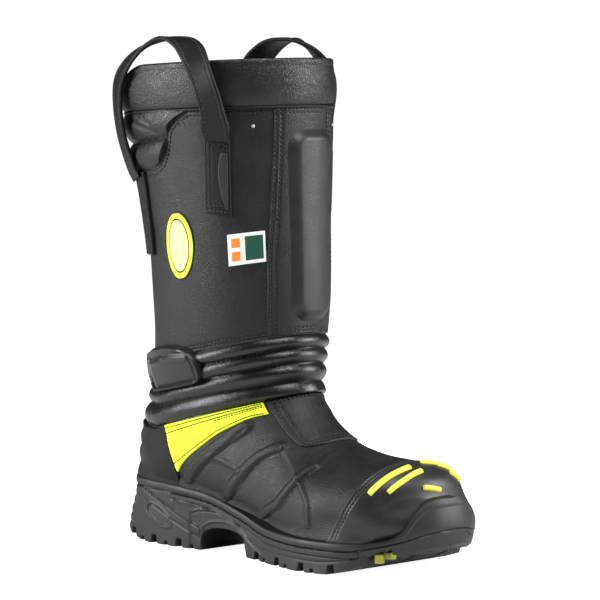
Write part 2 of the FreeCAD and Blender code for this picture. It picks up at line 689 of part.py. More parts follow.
def collar_foam():
    foam = stack(FOAM_STATIONS, lambda t: collar_depth(t) + 1.8)
    return foam.cut(stack([19.8, 20.2, 20.6, 21.3], 6.7))


save("collar_leather", collar_leather())
save("collar_foam", collar_foam())

# ------------------------------------------------------------------ pull loops
FRONT_FOOT, REAR_FOOT = (57.2, 18.95), (125.6, 18.32)   # angle, station
APEX_X = -74.4
# Webbing centre line from the front foot over the apex to the rear foot:
# x, distance to the side, z, twist in degrees towards lying flat over the arch,
# share of the sideways direction in the webbing's normal (the rest is the upper's normal)
LOOP_PATH = [
    (-23.2, 62.8, 318.0, 0, 0.1), (-23.4, 66.2, 331.0, 3, 0.3), (-26.4, 68.6, 343.0, 11, 0.6),
    (-34.0, 68.4, 356.6, 30, 1.0), (-45.0, 65.0, 368.4, 54, 1.0), (-58.8, 60.8, 376.2, 76, 1.0),
    (APEX_X, 60.5, LOOP_TOP_Z - 1.5, 90, 1.0), (-90.6, 62.0, 376.4, 76, 1.0),
    (-105.0, 64.0, 369.3, 54, 1.0), (-118.0, 65.0, 359.2, 32, 0.9),
    (-126.4, 65.8, 347.5, 14, 0.75), (-129.8, 65.0, 335.0, 5, 0.65),
    (-129.0, 62.6, 319.0, 0, 0.5), (-125.4, 59.2, 297.0, 0, 0.25),
]


def pull_loop(side):
    """Webbing loop that arches over above the collar between its two feet."""
    front, rear = (side * FRONT_FOOT[0], FRONT_FOOT[1]), (side * REAR_FOOT[0], REAR_FOOT[1])
    sideways = V(0, -side, 0)
    front_normal, rear_normal = normal(front[0], 19.4), normal(rear[0], 18.8)

    points, facings, twists = [upper(*front, -4.2)], [normal(*front)], [0]
    for x, y, z, twist, share in LOOP_PATH:
        near = front_normal if x > APEX_X else rear_normal
        points.append(V(x, -side * y, z))
        facings.append((near * (1 - share) + sideways * share).normalize())
        twists.append(twist)
    points.append(upper(*rear, -4.6))
    facings.append(normal(*rear))
    twists.append(0)

    path = Part.BSplineCurve()
    path.interpolate(Points=points)
    knots = [path.parameter(p) for p in points]
    twist_slopes = slopes(knots, twists)
    parts = [[facing[k] for facing in facings] for k in range(3)]
    part_slopes = [slopes(knots, part) for part in parts]
    start, end = path.FirstParameter, path.LastParameter
    count = 48
    outer, inner = [], []
    for i in range(count + 1):
        q = start + (end - start) * i / count
        point, along = path.value(q), path.tangent(q)[0]
        along.normalize()
        facing = V(*[hermite(knots, parts[k], part_slopes[k], q) for k in range(3)])
        facing = (facing - along * facing.dot(along)).normalize()
        # the arch direction points away from the middle of the loop
        arch = along.cross(facing)
        if arch.dot(point - V(APEX_X, point.y, 330.0)) < 0:
            arch = arch * -1
        twist = math.radians(hermite(knots, twists, twist_slopes, q))
        face = facing * math.cos(twist) + arch * math.sin(twist)
        across = along.cross(face).normalize()
        row = [point + across * ((j / 4.0 - 0.5) * STRAP_W) for j in range(5)]
        outer.append([p + face * (STRAP_T / 2) for p in row])
        inner.append([p - face * (STRAP_T / 2) for p in row])
    return thick(outer, inner)


# bottom and top corners of the front and rear tabs
LOOP_TABS = [([(53, 17.43), (69, 17.55)], [(50.5, 18.78), (65, 18.9)]),
             ([(119, 17.0), (137, 17.05)], [(116, 18.22), (134, 18.26)])]

for name, side in SIDES:
    save("pull_loop_" + name, pull_loop(side))
    save("loop_tabs_" + name, [quad(bottom, top, (-3.2, -0.4), (5, 10), side=side)
                               for bottom, top in LOOP_TABS])
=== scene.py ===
# A tall safety boot: moulded outsole, ribbed toe guard, rolled flex zone at the ankle,
# padded collar and two pull loops. The toe points along +X, the lateral side faces -Y,
# and the tread stands on z = 0. Lengths are in millimetres unless noted; meshes are
# scaled to metres as they are made. Shader, light and camera values are in metres.
import math

import bmesh
import bpy
import numpy as np
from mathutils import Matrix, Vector, noise
from mathutils.kdtree import KDTree

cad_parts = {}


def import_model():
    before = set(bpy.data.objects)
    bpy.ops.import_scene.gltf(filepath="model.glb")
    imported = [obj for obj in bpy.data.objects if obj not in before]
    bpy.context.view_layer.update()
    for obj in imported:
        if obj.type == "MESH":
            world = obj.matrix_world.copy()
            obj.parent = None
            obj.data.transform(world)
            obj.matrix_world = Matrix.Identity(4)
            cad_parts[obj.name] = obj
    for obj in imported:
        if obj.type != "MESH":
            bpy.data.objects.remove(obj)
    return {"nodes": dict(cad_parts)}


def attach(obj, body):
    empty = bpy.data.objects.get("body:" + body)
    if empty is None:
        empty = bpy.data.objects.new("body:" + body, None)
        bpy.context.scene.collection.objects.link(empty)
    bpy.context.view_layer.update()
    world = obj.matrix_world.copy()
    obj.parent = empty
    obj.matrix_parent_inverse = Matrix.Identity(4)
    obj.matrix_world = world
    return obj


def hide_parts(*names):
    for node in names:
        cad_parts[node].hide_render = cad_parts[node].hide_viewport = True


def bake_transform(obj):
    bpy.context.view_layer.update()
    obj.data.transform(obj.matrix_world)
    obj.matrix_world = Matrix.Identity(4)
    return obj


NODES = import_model()["nodes"]
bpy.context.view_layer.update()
scene = bpy.context.scene

SIDES = (("lateral", 1), ("medial", -1))  # the sign is that of phi

# ==================================================== numeric helpers


def unit(vectors):
    return vectors / (np.linalg.norm(vectors, axis=-1, keepdims=True) + 1e-12)


def smooth(x, start, end):
    """Smooth step from 0 at start to 1 at end."""
    share = np.clip((x - start) / (end - start), 0, 1)
    return share * share * (3 - 2 * share)


def band(x, rise_start, rise_end, fall_start, fall_end):
    return smooth(x, rise_start, rise_end) * (1 - smooth(x, fall_start, fall_end))


def bell(x, centre, width):
    return np.exp(-((x - centre) / width) ** 2)


def quarter_round(x, floor=0):
    """Quarter circle rising from 0 at x = 0 to 1 at x = 1."""
    return np.sqrt(np.clip(1 - (1 - np.clip(x, 0, 1)) ** 2, floor, 1))


def circle(count):
    angle = np.linspace(0, 2 * math.pi, count + 1)[:-1]
    return np.cos(angle), np.sin(angle)


def steps(points, axis):
    return np.linalg.norm(np.diff(points, axis=axis), axis=-1)


def run_length(points, power=1.0):
    """Distance run along a polyline, each chord raised to a power."""
    return np.concatenate([[0], np.cumsum(steps(points, 0) ** power)])


def resample(where, run, values):
    return np.stack([np.interp(where, run, column) for column in values.T], -1)


def pchip(x, y):
    """Monotone cubic through the points (x, y), as a function."""
    x, y = np.asarray(x, float), np.asarray(y, float)
    gap = np.diff(x)
    slope = np.diff(y) / gap
    grad = np.zeros(len(x))
    for i in range(1, len(x) - 1):
        if slope[i - 1] * slope[i] > 0:
            before, after = 2 * gap[i] + gap[i - 1], gap[i] + 2 * gap[i - 1]
            grad[i] = (before + after) / (before / slope[i - 1] + after / slope[i])

    def end(gap0, gap1, slope0, slope1):
        value = ((2 * gap0 + gap1) * slope0 - gap0 * slope1) / (gap0 + gap1)
        if value * slope0 <= 0:
            return 0.0
        if slope0 * slope1 <= 0 and abs(value) > 3 * abs(slope0):
            return 3 * slope0
        return value

    if len(x) > 2:
        grad[0] = end(*gap[:2], *slope[:2])
        grad[-1] = end(*gap[:-3:-1], *slope[:-3:-1])
    else:
        grad[:] = slope[0]

    def value_at(q):
        q = np.asarray(q, float)
        i = np.clip(np.searchsorted(x, q, side="right") - 1, 0, len(x) - 2)
        s = (q - x[i]) / gap[i]
        s2, s3 = s * s, s * s * s
        return ((2 * s3 - 3 * s2 + 1) * y[i] + (s3 - 2 * s2 + s) * gap[i] * grad[i]
                + (3 * s2 - 2 * s3) * y[i + 1] + (s3 - s2) * gap[i] * grad[i + 1])
    return value_at


def cubic_spline(points, power=1.0, closed=False):
    """Natural or closed cubic: a function giving (place, tangent), and its knots."""
    points = np.asarray(points, float)
    if closed:
        points = np.vstack([points, points[:1]])
    knots = run_length(points, power)
    gap = np.diff(knots)
    slope = np.diff(points, axis=0) / gap[:, None]
    count = len(gap) if closed else len(points)
    matrix, right = np.zeros((count, count)), np.zeros((count, points.shape[1]))
    if not closed:
        matrix[0, 0] = matrix[-1, -1] = 1
    for i in range(0 if closed else 1, len(gap)):
        matrix[i, i - 1] += gap[i - 1]
        matrix[i, i] += 2 * (gap[i - 1] + gap[i])
        matrix[i, (i + 1) % count] += gap[i]
        right[i] = 3 * (slope[i] - slope[i - 1])
    bend = np.linalg.solve(matrix, right)
    if closed:
        bend = np.vstack([bend, bend[:1]])

    def evaluate(q):
        i = np.clip(np.searchsorted(knots, q, side="right") - 1, 0, len(gap) - 1)
        x, width = (q - knots[i])[:, None], gap[i][:, None]
        first = slope[i] - width * (2 * bend[i] + bend[i + 1]) / 3
        third = (bend[i + 1] - bend[i]) / (3 * width)
        place = points[i] + first * x + bend[i] * x ** 2 + third * x ** 3
        return place, first + 2 * bend[i] * x + 3 * third * x ** 2
    return evaluate, knots


def fractal(points, scale, octaves=3, seed=0.0):
    flat = points.reshape(-1, 3) * scale + seed
    values = [noise.fractal(Vector(q), 1.0, 2.0, octaves) for q in flat]
    return np.array(values).reshape(points.shape[:-1])


# ==================================================== base surface of the boot
# The surface is addressed by phi (degrees: 0 front or top, 90 lateral, 180 back or
# bottom) and by station, from 0 at the toe tip to 21 at the collar.
# Columns: station, front x z, back x z, share of the depth behind the section's centre,
# lateral and medial half width, centre y, superellipse exponent of front and back half.
STATIONS = np.array([
    [0, 147, 41.6, 146, 37.4, .50, 3.1, 3.1, 4.2, 2, 2],
    [.5, 146, 51, 143, 28.1, .42, 21.8, 22.8, 4.2, 2, 2.2],
    [1, 141.5, 61, 135, 25, .38, 35.4, 35.8, 4.2, 2.1, 2.6],
    [1.5, 134, 69, 124.5, 23.9, .35, 44.7, 44, 3.1, 2.2, 3],
    [2, 121.5, 75, 109.5, 22.9, .33, 52, 48.8, 2.1, 2.3, 3.4],
    [3, 99, 78.5, 90, 22.9, .32, 55.6, 51, .5, 2.3, 3.6],
    [4, 76, 80.5, 66.5, 22.9, .31, 56.7, 50.5, -1, 2.2, 3.6],
    [5, 55.5, 85.5, 38, 25, .31, 54.1, 46.8, -1.6, 2.1, 3.4],
    [6, 41, 92.5, 8.3, 29.1, .31, 49.9, 41.6, -1.6, 2, 3.2],
    [7, 31.5, 99.5, -22.9, 33.3, .34, 46.8, 38.5, -1.6, 2, 3],
    [8, 24.5, 105.5, -58.2, 36.4, .38, 45.8, 39, -1, 2, 2.8],
    [9, 19, 111, -99.8, 37.4, .42, 46.3, 42.1, 0, 2, 2.8],
    [10, 15, 115, -137, 42, .46, 46.8, 44.7, 0, 2, 2.6],
    [11, 12.8, 118, -152.5, 62, .48, 46.8, 45.8, 0, 2, 2.4],
    [12, 11.5, 121, -150, 87, .49, 47.2, 46.5, 0, 2, 2.25],
    [13, 10.5, 136, -143.5, 102, .50, 48.5, 48.2, 0, 2, 2.2],
    [14, 9.8, 151, -138.5, 117, .50, 50.5, 50.5, 0, 2.05, 2.2],
    [15, 9.8, 166, -135.5, 132, .50, 52.8, 52.8, 0, 2.1, 2.2],
    [16, 10, 196, -133.5, 166, .50, 55.6, 55.6, 0, 2.2, 2.2],
    [17, 9.5, 236, -136, 213, .50, 58.2, 58.2, 0, 2.2, 2.2],
    [18, 9, 276, -144, 259, .50, 60.8, 60.8, 0, 2.2, 2.2],
    [19, 9, 309, -155, 298, .50, 63.4, 63.4, 0, 2.2, 2.2],
    [20, 9, 332, -161.2, 325, .50, 65, 65, 0, 2.2, 2.2],
    [21, 10, 364, -165, 356, .50, 66.6, 66.6, 0, 2.2, 2.2]])
COLUMNS = [pchip(STATIONS[:, 0], STATIONS[:, k]) for k in range(1, 11)]
# rough spacing, used to share out points along a path
MM_PER_DEGREE, MM_PER_STATION = 0.9, 14


def surface(phi, sta):
    """Points on the base surface."""
    phi, sta = np.broadcast_arrays(np.asarray(phi, float), np.asarray(sta, float))
    (front_x, front_z, back_x, back_z, back_share, lateral, medial, mid_y,
     front_power, back_power) = [column(sta) for column in COLUMNS]
    span_x, span_z = front_x - back_x, front_z - back_z
    span = np.hypot(span_x, span_z)
    cos, sin = np.cos(np.radians(phi)), np.sin(np.radians(phi))
    # the exponent changes smoothly from the front half to the back half
    power = back_power + (front_power - back_power) * (0.5 + 0.5 * np.clip(cos / 0.25, -1, 1))
    depth = np.where(cos >= 0, span * (1 - back_share), span * back_share)
    width = np.where(sin >= 0, lateral, medial)
    radius = (np.abs(cos) ** power + np.abs(sin) ** power) ** (-1.0 / power)
    ahead = depth * cos * radius
    return np.stack([back_x + span_x * back_share + ahead * span_x / span,
                     mid_y - width * sin * radius,
                     back_z + span_z * back_share + ahead * span_z / span], -1)


def skin(phi, sta):
    """Points on the base surface and their outward normals."""
    around = surface(phi + 0.4, sta) - surface(phi - 0.4, sta)
    onward = surface(phi, sta + 0.02) - surface(phi, np.maximum(sta - 0.02, 0))
    return surface(phi, sta), unit(np.cross(onward, around))


def from_front(phi):
    """Unsigned angle from the front, 0 to 180."""
    return np.abs(((phi + 180) % 360) - 180)


# ==================================================== paths and reliefs on the surface
# A path is a list of (phi, station) points, or a function of 0..1 giving such pairs.


def path_through(phi, sta, share=None):
    if share is None:
        share = np.linspace(0, 1, len(phi))
    phi_at, sta_at = pchip(share, phi), pchip(share, sta)
    return lambda s: np.stack([phi_at(s), sta_at(s)], -1)


def curve(path):
    if callable(path):
        return path
    phi, sta = np.asarray(path, float).T
    chords = np.hypot(np.diff(phi) * MM_PER_DEGREE, np.diff(sta) * MM_PER_STATION)
    run = np.concatenate([[0], np.cumsum(chords)])
    return path_through(phi, sta, run / run[-1])


def on_side(path, side):
    """A path drawn for the lateral side, on the side of this sign."""
    if callable(path):
        return lambda s: path(s) * np.array([side, 1.0])
    return [(side * phi, sta) for phi, sta in path]


def level(half, sta):
    """Path across the front at one station."""
    return [(-half, sta), (0, sta), (half, sta)]


def coons(bottom, top, left, right, side=1):
    """Map (u, v) in 0..1 to (phi, station) between four edge paths."""
    bottom, top, left, right = (curve(on_side(p, side)) for p in (bottom, top, left, right))
    c00, c10, c01, c11 = bottom(0.0), bottom(1.0), top(0.0), top(1.0)

    def place(u, v):
        x, y = u[..., None], v[..., None]
        q = ((1 - y) * bottom(u) + y * top(u) + (1 - x) * left(v) + x * right(v)
             - (1 - x) * (1 - y) * c00 - x * (1 - y) * c10 - (1 - x) * y * c01 - x * y * c11)
        return q[..., 0], q[..., 1]
    return place


def four_corners(low0, low1, high0, high1, side=1):
    return coons([low0, low1], [high0, high1], [low0, high0], [low1, high1], side)


def dense_line(path, step=0.5):
    """Polyline on the surface with points about step apart."""
    path = curve(path)
    length = steps(surface(*path(np.linspace(0, 1, 400)).T), 0).sum()
    return surface(*path(np.linspace(0, 1, max(4, int(length / step)))).T)


def distance_to(points, line, reach=12):
    """Distance from points to the line; 1000 outside its box widened by reach."""
    tree = KDTree(len(line))
    for i, q in enumerate(line):
        tree.insert(q, i)
    tree.balance()
    flat = points.reshape(-1, 3)
    near = np.all((flat > line.min(0) - reach) & (flat < line.max(0) + reach), axis=1)
    out = np.full(len(flat), 1e3)
    for i in np.nonzero(near)[0]:
        out[i] = tree.find(flat[i])[2]
    return out.reshape(points.shape[:-1])


def groove(path, depth, width):
    line = dense_line(path)
    return lambda points: -depth * np.exp(-(distance_to(points, line) / width) ** 2)


def grooves(paths, depth, width, side=1):
    return [groove(on_side(path, side), depth, width) for path in paths]


def ridge(path, height, half, soft):
    line = dense_line(path)
    return lambda points: height * (1 - smooth(distance_to(points, line),
                                               half - soft, half + soft))


# ==================================================== shader helpers


def rgba(colour):
    """A grey number or an RGB triple as RGBA."""
    return (*colour, 1) if isinstance(colour, tuple) else (colour, colour, colour, 1)


def feed(tree, node, inputs):
    """Link or set each named input; None leaves it alone."""
    for key, value in inputs.items():
        if isinstance(value, bpy.types.NodeSocket):
            tree.links.new(value, node.inputs[key])
        elif value is not None:
            node.inputs[key].default_value = value


def add_node(tree, kind, inputs, **settings):
    node = tree.nodes.new("ShaderNode" + kind)
    for key, value in settings.items():
        setattr(node, key, value)
    feed(tree, node, inputs)
    return node


def new_material(name):
    material = bpy.data.materials.new(name)
    material.use_nodes = True
    tree = material.node_tree
    tree.nodes.clear()
    output = add_node(tree, "OutputMaterial", {})
    shader = add_node(tree, "BsdfPrincipled", {})
    tree.links.new(shader.outputs[0], output.inputs[0])
    return material, tree, shader


def object_coords(tree):
    return add_node(tree, "TexCoord", {}).outputs["Object"]


def noise_tex(tree, coords, scale, detail, rough=0.55, distortion=0.0):
    return add_node(tree, "TexNoise", {
        "Scale": scale, "Detail": detail, "Roughness": rough,
        "Distortion": distortion, "Vector": coords}).outputs[0]


def ramp(tree, source, *stops):
    """Colour ramp through (position, colour) stops."""
    node = add_node(tree, "ValToRGB", {0: source})
    elements = node.color_ramp.elements
    while len(elements) > 1:
        elements.remove(elements[-1])
    elements[0].position, elements[0].color = stops[0][0], rgba(stops[0][1])
    for position, colour in stops[1:]:
        elements.new(position).color = rgba(colour)
    return node.outputs[0]


def math_node(tree, operation, *values):
    return add_node(tree, "Math", dict(enumerate(values)), operation=operation).outputs[0]


def mix(tree, factor, first, second, mode="MIX"):
    # sockets 6 and 7 are the colour inputs, output 2 the colour
    return add_node(tree, "Mix", {0: factor, 6: first, 7: second},
                    data_type="RGBA", blend_type=mode).outputs[2]


def bump(tree, height, strength, distance, normal=None):
    return add_node(tree, "Bump", {"Strength": strength, "Distance": distance,
                                   "Height": height, "Normal": normal}).outputs[0]


def wear(tree, colour, light):
    """Lighter colour on raised edges."""
    points = add_node(tree, "NewGeometry", {}).outputs["Pointiness"]
    edges = ramp(tree, points, (0.515, 0), (0.56, 1))
    return mix(tree, math_node(tree, "MULTIPLY", edges, 0.55), colour, rgba(light))


def colour_range(rgb, vary):
    """Stops from a darker to a lighter version of a colour."""
    return ((0.3, tuple(c * (1 - vary) for c in rgb)),
            (0.7, tuple(min(1, c * (1 + vary)) for c in rgb)))


def leather(name, shade, rough, spec=0.5, grain=700, grain_depth=0.00018, speckle=0.5,
            coat=0.0, wear_shade=None, wrinkled=False):
    """Dark leather; grain is the cell scale."""
    material, tree, shader = new_material(name)
    coords = object_coords(tree)
    fine = noise_tex(tree, coords, scale=1000, detail=2, rough=0.6)
    broad = noise_tex(tree, coords, scale=60, detail=4)
    dark, light = shade * (1 - speckle), shade * (1 + speckle)
    specks = ramp(tree, fine, (0.34, (dark, dark, dark * 1.02)),
                  (0.68, (light, light, light * 1.03)))
    clouds = ramp(tree, broad, (0.3, 0.80), (0.7, 1.16))
    colour = mix(tree, 1.0, specks, clouds, "MULTIPLY")
    worn = wear_shade or shade * 2.1
    colour = wear(tree, colour, (worn, worn, worn * 1.03))
    cells = add_node(tree, "TexVoronoi", {"Scale": grain, "Vector": coords},
                     feature="DISTANCE_TO_EDGE").outputs[0]
    cells = ramp(tree, cells, (0.0, 0), (0.22, 1))
    normal = bump(tree, cells, strength=0.55, distance=grain_depth)
    normal = bump(tree, fine, strength=0.45, distance=0.00013, normal=normal)
    if wrinkled:
        stretch = add_node(tree, "Mapping", {"Scale": (0.6, 0.6, 1.5), "Vector": coords})
        folds = noise_tex(tree, stretch.outputs[0], scale=300, detail=3, rough=0.5,
                          distortion=0.6)
        normal = bump(tree, folds, strength=0.8, distance=0.00014, normal=normal)
    feed(tree, shader, {
        "Base Color": colour, "Normal": normal,
        "Roughness": ramp(tree, broad, (0.3, rough - 0.07), (0.7, rough + 0.09)),
        "Specular IOR Level": spec, "Coat Weight": coat, "Coat Roughness": 0.35})
    return material


def rubber(name, rgb, rough, grain=0.00012, spec=0.4, vary=0.12, worn=None, painted_glow=None):
    """Rubber, plastic or plain metal; grain is the bump depth."""
    material, tree, shader = new_material(name)
    coords = object_coords(tree)
    fine = noise_tex(tree, coords, scale=1100, detail=2, rough=0.6)
    broad = noise_tex(tree, coords, scale=45, detail=4, rough=0.6)
    colour = ramp(tree, broad, *colour_range(rgb, vary))
    specks = ramp(tree, fine, (0.35, 0.86), (0.65, 1.1))
    colour = mix(tree, 1.0, colour, specks, "MULTIPLY")
    if worn:
        colour = wear(tree, colour, worn)
    normal = bump(tree, fine, strength=0.4, distance=grain)
    middle = noise_tex(tree, coords, scale=260, detail=3, rough=0.5)
    normal = bump(tree, middle, strength=0.25, distance=grain * 1.6, normal=normal)
    feed(tree, shader, {
        "Base Color": colour, "Normal": normal,
        "Roughness": ramp(tree, broad, (0.3, rough - 0.06), (0.7, rough + 0.08)),
        "Specular IOR Level": spec,
        # the optional emission strength paints a glow of light onto the colour, beyond what the
        # lamps give
        "Emission Color": painted_glow and colour, "Emission Strength": painted_glow})
    return material


def fabric(name, rgb, rough, weave=1.0, vary=0.12, sheen=0.2, painted_glow=None):
    """Woven cloth; weave scales the thread count."""
    material, tree, shader = new_material(name)
    coords = object_coords(tree)
    bands = [add_node(tree, "TexWave", {
        "Scale": 1400 * weave / 6.28, "Distortion": 0.6, "Vector": coords},
        wave_type="BANDS", bands_direction=axis).outputs[1] for axis in "XZ"]
    threads = math_node(tree, "MULTIPLY", *bands)
    broad = noise_tex(tree, coords, scale=80, detail=3, rough=0.6)
    colour = ramp(tree, broad, *colour_range(rgb, vary))
    shade = ramp(tree, threads, (0.0, 0.86), (1.0, 1.06))
    colour = mix(tree, 1.0, colour, shade, "MULTIPLY")
    feed(tree, shader, {
        "Base Color": colour, "Normal": bump(tree, threads, strength=0.5, distance=0.00025),
        "Roughness": ramp(tree, broad, (0.3, rough - 0.05), (0.7, min(1, rough + 0.08))),
        "Sheen Weight": sheen,
        # the optional emission strength paints a glow of light onto the colour, beyond what the
        # lamps give
        "Emission Color": painted_glow and colour, "Emission Strength": painted_glow})
    return material


MATERIALS = {
    "leather": leather("upper_leather", 0.0145, rough=0.41, spec=0.38),
    "leather_soft": leather("flex_leather", 0.008, rough=0.27, grain=760,
                            grain_depth=0.00010, speckle=0.25, spec=0.55, coat=0.12),
    "grain": leather("grain_leather", 0.010, rough=0.38, grain=520, grain_depth=0.00026,
                     speckle=0.2, wear_shade=0.010, coat=0.05, wrinkled=True),
    "heel": leather("heel_cap_leather", 0.008, rough=0.5, spec=0.28, grain=900,
                    grain_depth=0.00012),
    "strap": leather("strap_leather", 0.006, rough=0.42, spec=0.28, grain=800,
                     grain_depth=0.00016, speckle=0.3),
    "guard": rubber("guard_rubber", (0.022, 0.022, 0.023), rough=0.42, spec=0.5,
                    worn=(0.045, 0.045, 0.047)),
    "sole": rubber("sole_rubber", (0.020, 0.020, 0.021), rough=0.46, grain=0.00015,
                   spec=0.45, worn=(0.07, 0.07, 0.073)),
    "patch": rubber("patch_rubber", (0.016, 0.016, 0.017), rough=0.36, grain=0.0001,
                    spec=0.5),
    "shin": leather("shin_guard_leather", 0.019, rough=0.40, grain=500,
                    grain_depth=0.00008, speckle=0.3),
    # painted glow: the emission on the yellow fabric, yellow rubber and badge materials paints
    # extra light onto them
    "yellow": fabric("yellow_coated_fabric", (0.86, 1.0, 0.02), rough=0.6, vary=0.03,
                     sheen=0.1, painted_glow=0.5),
    "yellow_rubber": rubber("yellow_rubber", (0.80, 0.84, 0.09), rough=0.55, grain=0.0001,
                            vary=0.04, painted_glow=0.28),
    "badge": fabric("badge_reflective", (0.80, 0.96, 0.04), rough=0.55, weave=1.3,
                    vary=0.03, sheen=0.0, painted_glow=0.5),
    "badge_in": fabric("badge_reflective_inner", (0.90, 1.0, 0.36), rough=0.45, weave=1.6,
                       vary=0.03, sheen=0.0, painted_glow=0.5),
    "badge_line": rubber("badge_outline", (0.02, 0.02, 0.02), rough=0.6),
    # painted glow: the emission on the white label and its orange blocks paints extra light onto
    # them
    "label": fabric("label_fabric", (0.80, 0.79, 0.77), rough=0.8, weave=1.6, vary=0.04,
                    sheen=0.0, painted_glow=0.45),
    "green": fabric("label_green", (0.004, 0.095, 0.058), rough=0.75, weave=1.6, vary=0.05),
    "orange": fabric("label_orange", (0.95, 0.24, 0.03), rough=0.75, weave=1.6, vary=0.05,
                     sheen=0.0, painted_glow=0.4),
    "thread": fabric("stitch_thread", (0.007, 0.007, 0.0075), rough=0.6, weave=2.0,
                     vary=0.2, sheen=0.15),
    "thread_light": fabric("stitch_thread_light", (0.013, 0.013, 0.014), rough=0.5,
                           weave=2.0, vary=0.2, sheen=0.3),
    "lining": fabric("lining_fabric", (0.028, 0.028, 0.032), rough=0.9, weave=0.6,
                     vary=0.2, sheen=0.5),
    "foam": rubber("foam", (0.20, 0.20, 0.21), rough=0.9, grain=0.0004, spec=0.2),
    "board": fabric("insole_board", (0.52, 0.46, 0.34), rough=0.85, weave=0.8),
    "aramid": fabric("puncture_textile", (0.60, 0.54, 0.30), rough=0.7),
    "plastic": rubber("moulded_composite", (0.05, 0.05, 0.045), rough=0.45, grain=0.00008),
    "metal_dark": rubber("eyelet_metal_dark", (0.02, 0.02, 0.02), rough=0.4,
                         grain=0.00004, spec=0.6),
    "lug": rubber("tread_lug_yellow", (0.42, 0.45, 0.07), rough=0.6, grain=0.0001,
                  spec=0.3),
    "fold": leather("strap_fold_face", 0.026, rough=0.38, grain=900, grain_depth=0.00010,
                    speckle=0.2),
    "metal": rubber("eyelet_metal", (0.55, 0.55, 0.55), rough=0.25, grain=0.00004,
                    spec=0.9),
}

# ==================================================== mesh helpers


def new_object(name, data):
    obj = bpy.data.objects.new(name, data)
    scene.collection.objects.link(obj)
    return obj


def add_mesh(name, verts, faces, material, sharp=45):
    """Smooth-shaded mesh from mm; edges steeper than sharp degrees stay sharp, 0 none."""
    mesh = bpy.data.meshes.new(name)
    mesh.from_pydata((np.asarray(verts) * 0.001).tolist(), [], faces)
    mesh.materials.append(MATERIALS[material])
    mesh.validate(clean_customdata=False)
    mesh.polygons.foreach_set("use_smooth", [True] * len(mesh.polygons))
    obj = new_object(name, mesh)
    bm = bmesh.new()
    bm.from_mesh(mesh)
    bmesh.ops.remove_doubles(bm, verts=bm.verts, dist=0.00002)
    bmesh.ops.recalc_face_normals(bm, faces=bm.faces)
    bm.to_mesh(mesh)
    bm.free()
    if sharp:
        mesh.set_sharp_from_angle(angle=math.radians(sharp))
    return obj


def join(parts, name):
    bpy.ops.object.select_all(action="DESELECT")
    for part in parts:
        part.select_set(True)
    bpy.context.view_layer.objects.active = parts[0]
    bpy.ops.object.join()
    parts[0].name = name
    return parts[0]


def piece(obj, body, slot, *nodes):
    """Place an object: parent it to the body it moves with, or bake it in place for blend, and
    hide the nodes it replaces; slot is not used.
    """
    if nodes:
        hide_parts(*nodes)
    if body == "blend":
        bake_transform(obj)
    else:
        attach(obj, body)


def copy_node(name, source, material):
    obj = new_object(name, NODES[source].data.copy())
    obj.data.materials.clear()
    obj.data.materials.append(MATERIALS[material])
    return obj


def quads(*corners):
    return np.stack(corners, -1).reshape(-1, 4).tolist()


def grid_ids(rows, columns):
    return np.arange(rows * columns).reshape(rows, columns)


def hoop_quads(ids):
    """Quads of a grid whose rows close into a hoop."""
    after = np.roll(ids, -1, 0)
    return quads(ids[:, :-1], after[:, :-1], after[:, 1:], ids[:, 1:])


def torus_quads(ids):
    """Quads of a grid closed both ways."""
    return hoop_quads(np.hstack([ids, ids[:, :1]]))


def tube_quads(ids):
    """Quads between successive rings, one ring per row."""
    after = np.roll(ids, -1, 1)
    return quads(ids[:-1], after[:-1], after[1:], ids[1:])


def capped_tube(ids):
    return tube_quads(ids) + [ids[0][::-1].tolist(), ids[-1].tolist()]


def sections(centre, side, up, x, y):
    """One cross-section at each centre, from offsets x along side and y along up."""
    return centre[:, None] + side[:, None] * x[..., None] + up[:, None] * y[..., None]


def closed_slab(outer, inner, wrap=False):
    """Vertices and faces of the solid between two grids; wrap closes the rows."""
    rows, columns = outer.shape[:2]
    top = grid_ids(rows, columns)
    low = top + rows * columns
    used = rows if wrap else rows - 1
    top0, low0 = top[:used], low[:used]
    top1, low1 = (np.roll(ids, -1, 0)[:used] for ids in (top, low))
    faces = quads(top0[:, :-1], top1[:, :-1], top1[:, 1:], top0[:, 1:])
    faces += quads(low0[:, :-1], low0[:, 1:], low1[:, 1:], low1[:, :-1])
    for k in (0, -1):
        faces += quads(top0[:, k], low0[:, k], low1[:, k], top1[:, k])
    if not wrap:
        for k in (0, -1):
            faces += quads(top[k, :-1], top[k, 1:], low[k, 1:], low[k, :-1])
    return np.concatenate([outer.reshape(-1, 3), inner.reshape(-1, 3)]), faces


def grid_shares(length, grid, edge, ends=(True, True)):
    """Even shares of 0..1 with extra ones where an end rounds over."""
    extra = []
    for part in (0.12, 0.3, 0.6, 1.0):
        share = part * edge / length
        if ends[0]:
            extra.append(share)
        if ends[1]:
            extra.append(1 - share)
    even = np.linspace(0, 1, max(3, int(length / grid)) + 1)
    keep = [b for b in even
            if all(abs(b - x) > 0.25 * edge / length for x in extra) or b in (0.0, 1.0)]
    return np.unique(np.concatenate([keep, extra]))


